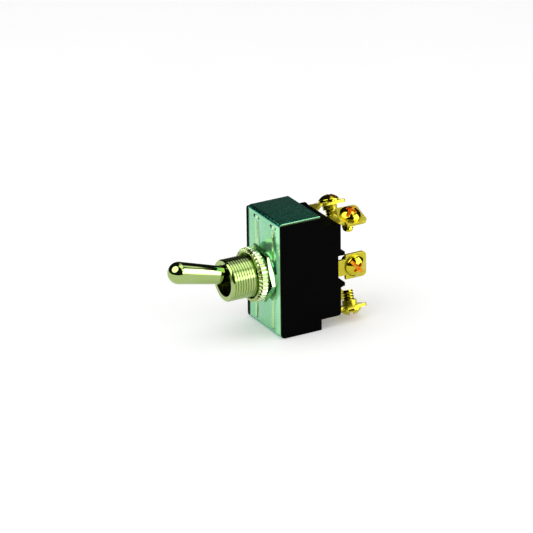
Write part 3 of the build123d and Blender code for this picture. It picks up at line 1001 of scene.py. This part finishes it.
@dataclass
class FaceNut:
    """Round nut with a straight knurl that runs over its rounded front edge.

    Attributes:
        bore_r: Radius of the bore.
        lead_in: Depth and width of the bore's open front.
        outer_r: Radius over the knurl.
        thickness: Thickness of the nut.
        chamfer: Width of the rear edge's chamfer.
        edge_r: Radius of the front edge's rounding.
        knurls: Ridges round the rim.
        knurl_turn: Turn of the first groove below +X, in degrees.
        knurl_depth: Depth of a groove between two ridges.
        ridge: Share of a ridge's pitch that stays at full height.
        dull: Share of a ridge's pitch, in its groove, that takes the darker plate over the front edge as
            painted shade.
        steps_a_knurl: Steps of the mesh in a ridge.
    """

    bore_r: float = 5.73
    lead_in: float = 0.9
    outer_r: float = 7.75
    thickness: float = 2.6
    chamfer: float = 0.2
    edge_r: float = 0.9
    knurls: int = 40
    knurl_turn: float = 1.5
    knurl_depth: float = 0.45
    ridge: float = 0.4
    dull: float = 0.5
    steps_a_knurl: int = 12

    def off_ridge(self, point: Vector) -> float:
        """Distance of a point from the middle of a ridge, where 1 is the middle of a groove."""
        turn = (degrees(atan2(point.y, point.x)) + self.knurl_turn) * self.knurls / 360
        return abs(turn % 1.0 * 2 - 1)

    def press(self, point: bmesh.types.BMVert) -> None:
        """Press a point of the rim down where it lies in a groove of the knurl."""
        radius = point.co.xy.length
        over = max(radius - self.outer_r + self.edge_r, 0.0)
        front = max(self.edge_r - point.co.z, 0.0)
        reach = sqrt(over**2 + front**2)
        if over < MERGE or reach < self.edge_r / 2:
            return
        share = max(self.off_ridge(point.co) - self.ridge, 0.0) / (1 - self.ridge)
        sink = self.knurl_depth * share
        point.co.xy *= (radius - sink * over / reach) / radius
        point.co.z += sink * front / reach

    def coat(self, face: bmesh.types.BMFace) -> TurnedCoat:
        """Finish of a face: the darker plate, as painted shade, on the front face and in the grooves over its
        edge.
        """
        middle = face.calc_center_median()
        in_groove = self.off_ridge(middle) > 1 - self.dull
        in_painted_shade = middle.z < self.edge_r and (middle.z < self.edge_r / 2 or in_groove)
        return TurnedCoat.SECOND if in_painted_shade else TurnedCoat.MAIN

    def build(self, finishes: Finishes) -> None:
        """Turn the nut, press its knurl and set it down.

        Args:
            finishes: Finishes of the switch.
        """
        shell = bmesh.new()
        pen = Pen(shell, self.bore_r, self.thickness)
        first = pen.point
        pen.line(self.bore_r, self.lead_in).line(self.bore_r + self.lead_in, 0.0)
        pen.line(self.outer_r - self.edge_r, 0.0)
        pen.arc(self.outer_r - self.edge_r, self.edge_r, 90.0, steps=5)
        pen.line(self.outer_r, self.thickness - self.chamfer)
        pen.line(self.outer_r - self.chamfer, self.thickness)
        shell.edges.new((pen.point, first))
        turn_profile(shell, self.steps_a_knurl * self.knurls)
        for point in shell.verts:
            self.press(point)
        for face in shell.faces:
            face.material_index = self.coat(face)
        place = Place("housing", "nut_plate", ("face_nut",))
        placement = Matrix.Rotation(radians(-90.0), 4, "X")
        # The rim takes the lighter nut plate as painted light; the front face and the grooves over its edge
        # take the darker bushing plate as painted shade.
        set_down(shell, "knurled_nut", (finishes.nut, finishes.bushing), place, placement, smooth=24.0)


@dataclass
class HexNut:
    """Hexagon nut with both faces chamfered and a round seat on its rear face.

    Attributes:
        bore_r: Radius of the bore.
        flats: Distance across its flats at the front.
        draft: Draft of its flats, in degrees.
        thickness: Thickness with the seat.
        hexagon_t: Thickness of the hexagon.
        seat_r: Radius of the seat.
        chamfer: Depth of the chamfers at the corners.
        turn: Turn of its first corner from +X, in degrees.
        front_y: Depth of its front face.
        steps_a_side: Steps of the mesh in a side.
        edge: Rounding of its edges.
    """

    bore_r: float = 5.73
    flats: float = 14.2
    draft: float = 4.5
    thickness: float = 2.1
    hexagon_t: float = 1.25
    seat_r: float = 6.7
    chamfer: float = 0.22
    turn: float = -9.0
    front_y: float = 3.3
    steps_a_side: int = 24
    edge: float = 0.06

    def build(self, finishes: Finishes) -> None:
        """Turn the nut, press its rim to six flats and set it down.

        Args:
            finishes: Finishes of the switch.
        """
        apothem = self.flats / 2
        corner_r = apothem / cos(pi / 6)
        shell = bmesh.new()
        pen = Pen(shell, self.bore_r, self.thickness)
        first = pen.point
        pen.line(self.bore_r, 0.0).line(apothem, 0.0).line(corner_r, self.chamfer)
        pen.line(corner_r, self.hexagon_t - self.chamfer).line(apothem, self.hexagon_t)
        pen.line(self.seat_r, self.hexagon_t).line(self.seat_r, self.thickness)
        shell.edges.new((pen.point, first))
        turn_profile(shell, 6 * self.steps_a_side)
        slope = self.chamfer / (corner_r - apothem)
        for point in shell.verts:
            if point.co.xy.length > apothem + MERGE:
                angle = atan2(point.co.y, point.co.x) % (pi / 3) - pi / 6
                radius = apothem / cos(angle)
                point.co.xy *= radius / corner_r
                rise = (corner_r - radius) * slope
                point.co.z += -rise if point.co.z < self.hexagon_t / 2 else rise
            if point.co.xy.length > apothem - MERGE:
                point.co.xy *= 1 + tan(radians(self.draft)) * point.co.z / apothem
        place = Place("housing", "nut_plate", ("hex_nut",))
        placement = Matrix.Translation((0.0, self.front_y, 0.0)) @ Matrix.Rotation(radians(-90.0), 4, "X")
        placement = placement @ Matrix.Rotation(radians(-self.turn), 4, "Z")
        nut = set_down(shell, "hexagon_nut", finishes.hexagon, place, placement, smooth=20.0)
        round_edges(nut, self.edge, angle=25.0)


@dataclass
class Shell:
    """Folded cover and moulded case.

    Attributes:
        cover_half_w: Half of the cover's width.
        cover_half_h: Half of the cover's height.
        front_y: Front face of the cover.
        sheared_r: Roll of the cover's sheared edges.
        edge_slack: How far a point of an outer edge may lie off its true line.
        groove_x: Distance of the grooves and lances from the middle.
        groove_half_w: Half of a groove's width.
        groove_shift: How far the grooves and lances sit to the right of that.
        groove_top: Height of the grooves' upper ends.
        groove_left: Width of a groove's steep left flank.
        groove_right: Width of its shallow right flank.
        groove_slack: How far outside a groove a point still counts as its own.
        lance_half_w: Half of a lance's width.
        groove_tilt: Smallest sideways tilt of a groove's flank, as a share of its normal.
        edge_tilt: The same for the roll of the right sheared edge.
        flange_tilt: Smallest tilt up or down of a face that belongs to a flange.
        front_tilt: Smallest forward tilt of a face that belongs to the front.
        bridge_rise: How far a face stands proud of the front before it is a lance's bridge.
        bend_r: Outer radius of the cover's bends.
        front_depth: Depth behind the front face within which a point belongs to the front.
        front_margin: Width along the bends that isn't moved with the grooves.
        cheek_line: Height above which the case's cheeks are drawn down.
        cheek_squash: Share of the cheeks' height that is left above that line.
        cheek_reach: How far the left cheek's front edge is drawn forward.
        cheek_depth: Depth behind the cover's front within which a point belongs to that edge.
        cover_edge: Rounding of the cover's edges.
        case_edge: Rounding of the case's edges.
    """

    cover_half_w: float = 8.9
    cover_half_h: float = 17.0
    front_y: float = 5.4
    sheared_r: float = 0.3
    edge_slack: float = 0.02
    groove_x: float = 4.65
    groove_half_w: float = 0.85
    groove_shift: float = 0.5
    groove_top: float = 13.95
    groove_left: float = 1.1
    groove_right: float = 1.6
    groove_slack: float = 0.01
    lance_half_w: float = 1.9
    groove_tilt: float = 0.06
    edge_tilt: float = 0.2
    flange_tilt: float = 0.15
    front_tilt: float = 0.5
    bridge_rise: float = 0.04
    bend_r: float = 1.0
    front_depth: float = 1.0
    front_margin: float = 1.5
    cheek_line: float = 16.3
    cheek_squash: float = 0.5
    cheek_reach: float = 0.25
    cheek_depth: float = 0.3
    cover_edge: float = 0.05
    case_edge: float = 0.12

    def on_outside(self, point: bmesh.types.BMVert) -> bool:
        """Whether a point of the cover lies on its sheared outer edge."""
        edge_x = abs(abs(point.co.x) - self.cover_half_w) < MERGE
        dy = max(self.front_y + self.bend_r - point.co.y, 0.0)
        dz = max(abs(point.co.z) - self.cover_half_h + self.bend_r, 0.0)
        return edge_x and abs(sqrt(dy**2 + dz**2) - self.bend_r) < self.edge_slack

    def spread_groove(self, point: bmesh.types.BMVert, middle: float) -> None:
        """Move a point of a groove or a lance to the place and width that the photograph shows.

        Args:
            point: Point of the cover's front.
            middle: Middle of the groove.
        """
        aside = point.co.x - middle
        if point.co.z < self.groove_top and abs(aside) < self.groove_half_w + self.groove_slack:
            wide = self.groove_left if aside < 0 else self.groove_right
            aside = self.groove_left - self.groove_half_w + aside * wide / self.groove_half_w
        point.co.x = middle + self.groove_shift + aside

    def coat(self, face: bmesh.types.BMFace) -> CoverCoat:
        """Finish of a face of the cover, by where it lies and which way it looks: painted reflections on the
        grooves' flanks and the right sheared edge, painted highlight on the lances' bridges, painted shade on
        the flanges.
        """
        middle = face.calc_center_median()
        # Faces that look up or down on a flange: painted shade.
        if abs(face.normal.z) > self.flange_tilt and abs(middle.z) > self.cover_half_h - self.bend_r:
            return CoverCoat.FLANGE
        # Faces that stand proud of the front, the lances' bridges: painted highlight.
        if middle.y < self.front_y - self.bridge_rise:
            return CoverCoat.BRIDGE
        # The right sheared edge's roll: painted reflection.
        if abs(middle.x) > self.cover_half_w - self.sheared_r and face.normal.x > self.edge_tilt:
            return CoverCoat.WARM
        # Sideways-tilted flanks of the grooves: painted reflections, warmer on flanks that look right and
        # cooler on flanks that look left.
        if face.normal.y < -self.front_tilt and abs(face.normal.x) > self.groove_tilt:
            return CoverCoat.WARM if face.normal.x > 0 else CoverCoat.COOL
        return CoverCoat.SHEET

    def cover(self, finishes: Finishes) -> None:
        """Roll the cover's sheared edges, place its grooves and lances, and give its faces finishes with
        painted reflections, highlight and shade.

        Args:
            finishes: Finishes of the switch.
        """
        shell = merged_copy("cover")
        rolled = [edge for edge in shell.edges if all(self.on_outside(point) for point in edge.verts)]
        bmesh.ops.bevel(
            shell,
            geom=rolled,
            offset=self.sheared_r,
            offset_type="OFFSET",
            affect="EDGES",
            segments=4,
            profile=0.5,
            material=-1,
            clamp_overlap=True,
        )
        for point in shell.verts:
            middle = self.groove_x if point.co.x > 0 else -self.groove_x
            on_front = point.co.y < self.front_y + self.front_depth
            within = abs(point.co.z) < self.cover_half_h - self.front_margin
            if on_front and within and abs(point.co.x - middle) < self.lance_half_w:
                self.spread_groove(point, middle)
        shell.normal_update()
        # Each face takes its finish by where it lies and which way it looks. This paints reflections, a
        # highlight and shade onto the cover.
        for face in shell.faces:
            face.material_index = self.coat(face)
        coats = (
            finishes.cover,
            finishes.cover_warm,
            finishes.cover_cool,
            finishes.cover_flange,
            finishes.cover_bridge,
        )
        place = Place("housing", "cover_plate", ("cover",))
        cover = set_down(shell, "folded_cover", coats, place)
        round_edges(cover, self.cover_edge)

    def case(self, finishes: Finishes) -> None:
        """Draw the case's cheeks down and the left one forward, to where they stand round the cover.

        Args:
            finishes: Finishes of the switch.
        """
        shell = merged_copy("case")
        ends = [point for point in shell.verts if point.co.z > self.cheek_line]
        bmesh.ops.scale(
            shell,
            vec=(1.0, 1.0, self.cheek_squash),
            space=Matrix.Translation((0.0, 0.0, -self.cheek_line)),
            verts=ends,
        )
        for point in shell.verts:
            if point.co.x < -self.cover_half_w and point.co.y < self.front_y + self.cheek_depth:
                point.co.y -= self.cheek_reach
        place = Place("housing", "case_moulding", ("case",))
        case = set_down(shell, "moulded_case", finishes.case, place)
        round_edges(case, self.case_edge)

    def build(self, finishes: Finishes) -> None:
        """Build both and set them down."""
        self.cover(finishes)
        self.case(finishes)


@dataclass
class Screw:
    """Domed brass screw with a struck cross recess and a wound thread.

    Attributes:
        root_r: Radius at the root of its thread.
        crest_r: Radius at the crest.
        pitch: Pitch of the thread.
        length: Length under the head.
        head_r: Radius of the head.
        head_edge: Height of the head's straight rim.
        head_h: Height of the head.
        recess_depth: Depth below the dome from which a face belongs to the recess.
        recess_floor: Height above the seat from which it can.
        recess_margin: Width of the rim that the recess never reaches.
        steps: Steps in a turn of the thread.
        turn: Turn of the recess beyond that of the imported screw, in degrees.
        edge: Rounding of its edges.
    """

    root_r: float = 1.28
    crest_r: float = 1.6
    pitch: float = 0.794
    length: float = 5.2
    head_r: float = 3.0
    head_edge: float = 0.6
    head_h: float = 2.0
    recess_depth: float = 0.12
    recess_floor: float = 0.2
    recess_margin: float = 0.1
    steps: int = 48
    turn: float = -13.0
    edge: float = 0.07

    def in_recess(self, face: bmesh.types.BMFace) -> bool:
        """Whether a face of the head, seen along its own axis, lies in the recess."""
        middle = face.calc_center_median()
        rise = self.head_h - self.head_edge
        dome_r = (self.head_r**2 + rise**2) / (2 * rise)
        radius = min(middle.xy.length, self.head_r)
        dome_z = self.head_h - dome_r + sqrt(dome_r**2 - radius**2)
        deep = self.recess_floor < middle.z < dome_z - self.recess_depth
        return deep and radius < self.head_r - self.recess_margin

    def build(self, node: str, seat: Matrix, finishes: Finishes) -> None:
        """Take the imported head, wind the thread and set the screw down.

        Args:
            node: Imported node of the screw.
            seat: Matrix from the screw's own axis, with its head up Z, to the part's frame.
            finishes: Finishes of the switch.
        """
        shell = merged_copy(node)
        own_frame = Matrix.Rotation(radians(self.turn), 4, "Z") @ seat.inverted()
        bmesh.ops.transform(shell, matrix=own_frame, verts=shell.verts[:])
        bmesh.ops.bisect_plane(
            shell,
            geom=shell.verts[:] + shell.edges[:] + shell.faces[:],
            dist=MERGE,
            plane_co=(0.0, 0.0, MERGE),
            plane_no=(0.0, 0.0, -1.0),
            clear_outer=True,
        )
        rim = [edge for edge in shell.edges if edge.is_boundary]
        bmesh.ops.holes_fill(shell, edges=rim, sides=0)
        bmesh.ops.recalc_face_normals(shell, faces=shell.faces[:])
        # Faces in the recess take the darker orange-red brass: painted shade.
        for face in shell.faces:
            face.material_index = TurnedCoat.SECOND if self.in_recess(face) else TurnedCoat.MAIN
        thread = wind_thread(self.root_r, self.crest_r, self.pitch, self.length, self.steps)
        ends = [edge for edge in thread.edges if edge.is_boundary]
        bmesh.ops.holes_fill(thread, edges=ends, sides=0)
        bmesh.ops.translate(thread, vec=(0.0, 0.0, -self.length), verts=thread.verts[:])
        bmesh.ops.recalc_face_normals(thread, faces=thread.faces[:])
        join_shells(shell, thread)
        place = Place("housing", "screw_brass", (node,))
        piece = set_down(
            shell, node + "_turned", (finishes.screw, finishes.recess), place, seat, mend_normals=False
        )
        round_edges(piece, self.edge, angle=40.0)


@dataclass
class Terminals:
    """Stamped terminals and their screws, with the places of the screws' seats.

    Attributes:
        edge: Rounding of the stamped edges.
        screw_y: Depth of the middle screws.
        end_screw_y: Depth of the end screws.
        middle_x: Outer face of the middle plates.
        end_x: Centre of the end plates.
        end_z: Height of the end plates' middle plane.
        plate_t: Thickness of the plates.
        roll: Roll of the end plates, in degrees.
    """

    edge: float = 0.1
    screw_y: float = 29.148
    end_screw_y: float = 29.548
    middle_x: float = 9.0
    end_x: float = 5.8
    end_z: float = 13.65
    plate_t: float = 0.9
    roll: float = 20.0

    def seat(self, side: Side, level: Level | None) -> Matrix:
        """Matrix from a screw's own axis, with its head up Z, to the part's frame.

        Args:
            side: Pole of the screw.
            level: Row of an end screw, or nothing for a middle one.

        Returns:
            The matrix.
        """
        if level is None:
            outward = Vector((side.value, 0.0, 0.0))
            centre = Vector((side.value * self.middle_x, self.screw_y, 0.0))
        else:
            roll = radians(self.roll)
            outward = Vector((side.value * sin(roll), 0.0, level.value * cos(roll)))
            centre = Vector((side.value * self.end_x, self.end_screw_y, level.value * self.end_z))
            centre += outward * (self.plate_t / 2)
        along = Vector((0.0, 1.0, 0.0))
        turned = Matrix((along, outward.cross(along), outward)).transposed().to_4x4()
        return Matrix.Translation(centre) @ turned

    def build(self, finishes: Finishes) -> None:
        """Copy the terminals with rounded edges, and build their screws.

        Args:
            finishes: Finishes of the switch.
        """
        for side in Side:
            for level in (None, *Level):
                kind = "middle_%s_" + side.word if level is None else f"end_%s_{level.word}_{side.word}"
                node = kind % "terminal"
                place = Place("housing", "terminal_brass", (node,))
                plate = set_down(merged_copy(node), node + "_stamped", finishes.brass, place)
                round_edges(plate, self.edge)
                Screw().build(kind % "screw", self.seat(side, level), finishes)


@dataclass
class Mechanism:
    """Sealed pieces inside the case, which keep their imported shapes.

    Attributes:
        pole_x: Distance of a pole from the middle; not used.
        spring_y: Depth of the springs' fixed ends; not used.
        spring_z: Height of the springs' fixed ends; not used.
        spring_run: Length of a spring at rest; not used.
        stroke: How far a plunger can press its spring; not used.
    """

    pole_x: float = 4.2
    spring_y: float = 9.777
    spring_z: float = -2.612
    spring_run: float = 2.6
    stroke: float = 0.8

    def spring(self, side: Side, finishes: Finishes) -> None:
        """Copy a plunger's spring, with a mesh of its own, to move with the lever.

        Args:
            side: Pole of the spring.
            finishes: Finishes of the switch.
        """
        node = f"plunger_spring_{side.word}"
        place = Place("lever", "spring_steel", (node,))
        coil = set_down(merged_copy(node), node + "_wound", finishes.steel, place)
        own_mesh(coil)

    def build(self, finishes: Finishes) -> None:
        """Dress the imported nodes.

        Args:
            finishes: Finishes of the switch.
        """
        dress(finishes.fibre, "insulating_card")
        dress(finishes.steel, "pivot_pin")
        dress(finishes.nylon, "actuator")
        for side in Side:
            dress(finishes.nylon, f"plunger_{side.word}")
            self.spring(side, finishes)
            dress(finishes.rocker, f"rocker_{side.word}")
            for level in Level:
                dress(
                    finishes.silver,
                    f"rocker_contact_{level.word}_{side.word}",
                    f"fixed_contact_{level.word}_{side.word}",
                )


class Outline(Enum):
    """Outline of a lit panel in the reflection tent."""

    SQUARE = "square"
    ROUND = "round"


@dataclass(frozen=True)
class Panel:
    """Lit panel in the reflection tent, placed by bearing and height in degrees.

    Attributes:
        bearing: Bearing of its centre, from +Y towards +X.
        height: Angle of its centre above the floor.
        half_w: Half of its width.
        half_h: Half of its height.
        glow: Brightness, where 1 is white.
        outline: Outline of the panel.
        edge: Width of its soft edge.
        fade: Height over which a square panel fades in from its lower edge.
    """

    bearing: float
    height: float
    half_w: float
    half_h: float
    glow: float
    outline: Outline = Outline.SQUARE
    edge: float = 2.0
    fade: float = 2.0

    def level(self, bearing: float, height: float) -> float:
        """Brightness that the panel gives a direction.

        Args:
            bearing: Bearing of the direction, in degrees.
            height: Its angle above the floor, in degrees.

        Returns:
            The brightness.
        """
        aside = (bearing - self.bearing + 180.0) % 360.0 - 180.0
        if self.outline is Outline.ROUND:
            turn, up, own = radians(aside), radians(height), radians(self.height)
            off = degrees(acos(min(sin(up) * sin(own) + cos(up) * cos(own) * cos(turn), 1.0)))
            return self.glow * min(max((self.half_w - off) / self.edge, 0.0), 1.0)
        foot = min(max((height - self.height + self.half_h) / self.fade, 0.0), 1.0)
        room = min(self.half_w - abs(aside), self.half_h - abs(height - self.height))
        return self.glow * foot * min(max(room / self.edge, 0.0), 1.0)


@dataclass(frozen=True)
class Softbox:
    """Area lamp that faces the switch and lights the floor.

    Attributes:
        name: Name of the lamp.
        bearing: Bearing from +Y towards +X, in degrees.
        height: Angle above the floor, in degrees.
        distance: Distance from the switch, in metres.
        size: Width and height, in metres.
        glow: Brightness of its face, where 1 is white.
    """

    name: str
    bearing: float
    height: float
    distance: float
    size: tuple[float, float]
    glow: float

    def build(self) -> None:
        """Hang the lamp."""
        bearing, height = radians(self.bearing), radians(self.height)
        towards = Vector((sin(bearing) * cos(height), cos(bearing) * cos(height), sin(height)))
        data = bpy.data.lights.new(self.name, "AREA")
        data.shape = "RECTANGLE"
        data.size, data.size_y = self.size
        data.energy = self.glow * pi * self.size[0] * self.size[1]
        lamp = bpy.data.objects.new(self.name, data)
        lamp.location = towards * self.distance
        lamp.rotation_euler = towards.to_track_quat("Z", "Y").to_euler()
        lamp.visible_glossy = False
        bpy.context.scene.collection.objects.link(lamp)


@dataclass
class Studio:
    """Pale floor, white surroundings, lamps and a tent that gives the metal its dark reflections.

    Attributes:
        floor_size: Length of the floor's sides, in metres.
        floor_colour: Tone of the floor.
        floor_patch: How much lighter its faint patches are.
        floor_lift: Glow that the floor adds where it is seen.
        fill: Brightness of the surroundings on matt surfaces.
        tent_r: Radius of the tent, in metres.
        tent_tone: Brightness of its dark cloth.
        tent_steps: Steps of the tent's mesh round and up.
        panels: Lit panels: the key panel, two beside it and one at its foot, two overhead, two small
            ones and a faint one behind, and a round one in front.
        lamps: Lamps that light the floor and the matt surfaces.
    """

    floor_size: float = 6.0
    floor_colour: float = 0.86
    floor_patch: float = 0.01
    floor_lift: float = 0.22
    fill: float = 0.55
    tent_r: float = 0.9
    tent_tone: float = 0.012
    tent_steps: tuple[int, int] = (240, 120)
    panels: tuple[Panel, ...] = (
        Panel(39.0, 19.0, 19.0, 21.0, 6.5, fade=15.0),
        Panel(65.0, 15.0, 11.0, 9.0, 4.8, edge=3.0),
        Panel(58.0, 30.0, 16.0, 24.0, 2.6, edge=10.0),
        Panel(48.0, 3.0, 28.0, 6.0, 1.15),
        Panel(17.0, 70.0, 48.0, 20.0, 2.1, edge=6.0),
        Panel(4.5, 68.0, 57.5, 22.0, 0.85),
        Panel(-50.0, 49.0, 6.0, 9.0, 0.85),
        Panel(-3.0, 44.0, 13.0, 4.0, 1.25),
        Panel(-58.0, 15.0, 10.0, 18.0, 0.065),
        Panel(177.0, 50.0, 32.0, 32.0, 3.0, Outline.ROUND),
    )
    lamps: tuple[Softbox, ...] = (
        Softbox("right_softbox", 43.0, 20.0, 0.70, (0.55, 0.50), 1.5),
        Softbox("front_softbox", 180.0, 47.0, 0.60, (0.70, 0.70), 1.0),
        Softbox("top_softbox", 0.0, 80.0, 0.80, (0.60, 0.60), 1.0),
    )

    def floor(self, level: float) -> None:
        """Lay the floor.

        Args:
            level: Height of the floor, in metres.
        """
        shell = bmesh.new()
        bmesh.ops.create_grid(shell, x_segments=1, y_segments=1, size=self.floor_size / 2)
        bmesh.ops.translate(shell, vec=(0.0, 0.0, level), verts=shell.verts[:])
        mesh = bpy.data.meshes.new("floor")
        shell.to_mesh(mesh)
        shell.free()
        wiring = Wiring("pale_floor")
        seen = wiring.add("ShaderNodeLightPath")
        bounced = wiring.add("ShaderNodeMath", operation="ADD", use_clamp=True)
        wiring.wire(seen.outputs["Is Camera Ray"], bounced.inputs[0])
        wiring.wire(seen.outputs["Is Glossy Ray"], bounced.inputs[1])
        through = wiring.add("ShaderNodeMath", operation="ADD", use_clamp=True)
        wiring.wire(bounced.outputs["Value"], through.inputs[0])
        wiring.wire(seen.outputs["Is Transmission Ray"], through.inputs[1])
        lift = wiring.add("ShaderNodeMath", operation="MULTIPLY")
        lift.inputs[1].default_value = self.floor_lift
        wiring.wire(through.outputs["Value"], lift.inputs[0])
        grain = wiring.noise(wiring.place(), 0.02)
        tone, patch = self.floor_colour, self.floor_colour + self.floor_patch
        pale = wiring.blend(grain, (tone, tone, tone), (patch, patch, patch))
        wiring.surface(
            Base_Color=pale,
            Roughness=1.0,
            Specular_IOR_Level=0.0,
            Emission_Color=(1.0, 1.0, 1.0),
            Emission_Strength=lift.outputs["Value"],
        )
        mesh.materials.append(wiring.material)
        floor = bpy.data.objects.new("studio_floor", mesh)
        bpy.context.scene.collection.objects.link(floor)
        floor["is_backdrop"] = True

    def tent(self, level: float) -> None:
        """Raise the dark tent, which only reflections see, with its lit panels.

        Args:
            level: Height of the floor, in metres.
        """
        shell = bmesh.new()
        across, up = self.tent_steps
        bmesh.ops.create_uvsphere(shell, u_segments=across, v_segments=up, radius=self.tent_r)
        glow = shell.verts.layers.float.new("glow")
        for point in shell.verts:
            bearing = degrees(atan2(point.co.x, point.co.y))
            height = degrees(asin(min(max(point.co.z / self.tent_r, -1.0), 1.0)))
            lit = max(panel.level(bearing, height) for panel in self.panels)
            point[glow] = max(lit, self.tent_tone)
        below = [face for face in shell.faces if face.calc_center_median().z < level]
        bmesh.ops.delete(shell, geom=below, context="FACES")
        mesh = bpy.data.meshes.new("reflection_tent")
        shell.to_mesh(mesh)
        shell.free()
        wiring = Wiring("tent_cloth")
        lit = wiring.add("ShaderNodeAttribute", attribute_name="glow")
        weave = wiring.noise(wiring.place(), 0.01)
        wiring.surface(
            Base_Color=(0.0, 0.0, 0.0),
            Roughness=1.0,
            Specular_IOR_Level=0.0,
            Emission_Color=wiring.blend(weave, (1.0, 1.0, 1.0), (0.96, 0.96, 0.96)),
            Emission_Strength=lit.outputs["Fac"],
        )
        mesh.materials.append(wiring.material)
        tent = bpy.data.objects.new("reflection_tent", mesh)
        bpy.context.scene.collection.objects.link(tent)
        tent.visible_camera = False
        tent.visible_diffuse = False
        tent.visible_transmission = False
        tent.visible_volume_scatter = False
        tent.visible_shadow = False
        tent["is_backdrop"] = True

    def surroundings(self) -> None:
        """Make the world white where it is seen and a soft fill elsewhere."""
        world = bpy.data.worlds.new("white_room")
        world.use_nodes = True
        tree = world.node_tree
        tree.nodes.clear()
        seen = tree.nodes.new("ShaderNodeLightPath")
        total = seen.outputs["Is Camera Ray"]
        for ray in ("Is Glossy Ray", "Is Transmission Ray"):
            added = tree.nodes.new("ShaderNodeMath")
            added.operation = "ADD"
            added.use_clamp = True
            tree.links.new(total, added.inputs[0])
            tree.links.new(seen.outputs[ray], added.inputs[1])
            total = added.outputs["Value"]
        level = tree.nodes.new("ShaderNodeMapRange")
        level.inputs["To Min"].default_value = self.fill
        level.inputs["To Max"].default_value = 1.0
        tree.links.new(total, level.inputs["Value"])
        background = tree.nodes.new("ShaderNodeBackground")
        background.inputs["Color"].default_value = (1.0, 1.0, 1.0, 1.0)
        tree.links.new(level.outputs["Result"], background.inputs["Strength"])
        output = tree.nodes.new("ShaderNodeOutputWorld")
        tree.links.new(background.outputs["Background"], output.inputs["Surface"])
        bpy.context.scene.world = world

    def build(self, level: float) -> None:
        """Build the studio.

        Args:
            level: Height of the floor, in metres.
        """
        self.floor(level)
        self.tent(level)
        self.surroundings()
        for lamp in self.lamps:
            lamp.build()
        view = bpy.context.scene.view_settings
        view.view_transform = "Standard"


@dataclass
class PhotoCamera:
    """Camera at the photograph's place, on a long lens.

    Attributes:
        azimuth: Bearing of the camera, in degrees from -Y towards +X.
        elevation: Height of the camera, in degrees.
        roll: Turn of the picture, in degrees.
        distance: Distance from the target, in millimetres.
        target: Point in the middle of the picture.
        focal_pixels: Focal length in pixels of the photograph.
        photo_pixels: Width of the photograph in pixels.
        sensor: Width of the sensor, in millimetres.
        near: Nearest distance that the camera sees, in metres.
        far: Farthest distance that it sees, in metres.
    """

    azimuth: float = 61.21
    elevation: float = 22.75
    roll: float = -0.748
    distance: float = 974.7
    target: tuple[float, float, float] = (0.04, 6.10, 1.40)
    focal_pixels: float = 3519.3
    photo_pixels: float = 533.0
    sensor: float = 36.0
    near: float = 0.05
    far: float = 20.0

    def build(self) -> None:
        """Set the camera up and make it the scene's camera."""
        turn, rise, roll = radians(self.azimuth), radians(self.elevation), radians(self.roll)
        level_right = Vector((cos(turn), sin(turn), 0.0))
        back = Vector((sin(turn) * cos(rise), -cos(turn) * cos(rise), sin(rise)))
        level_up = back.cross(level_right)
        right = level_right * cos(roll) + level_up * sin(roll)
        up = level_up * cos(roll) - level_right * sin(roll)
        data = bpy.data.cameras.new("photo_camera")
        data.sensor_width = self.sensor
        data.lens = self.focal_pixels * self.sensor / self.photo_pixels
        data.clip_start = self.near
        data.clip_end = self.far
        camera = bpy.data.objects.new("photo_camera", data)
        turned = Matrix((right, up, back)).transposed().to_4x4()
        spot = (Vector(self.target) + back * self.distance) * MM
        camera.matrix_world = Matrix.Translation(spot) @ turned
        bpy.context.scene.collection.objects.link(camera)
        bpy.context.scene.camera = camera


def main() -> None:
    """Build the switch, then the studio round it."""
    logging.basicConfig(level=logging.INFO, format="%(message)s")
    cad_box = [list(corner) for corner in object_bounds()]
    finishes = Finishes()
    for part in (Lever(), Bushing(), FaceNut(), HexNut(), Shell(), Terminals(), Mechanism()):
        part.build(finishes)
        log.info("built %s", type(part).__name__)
    Studio().build(cad_box[0][2])
    PhotoCamera().build()


if __name__ == "__main__":
    main()
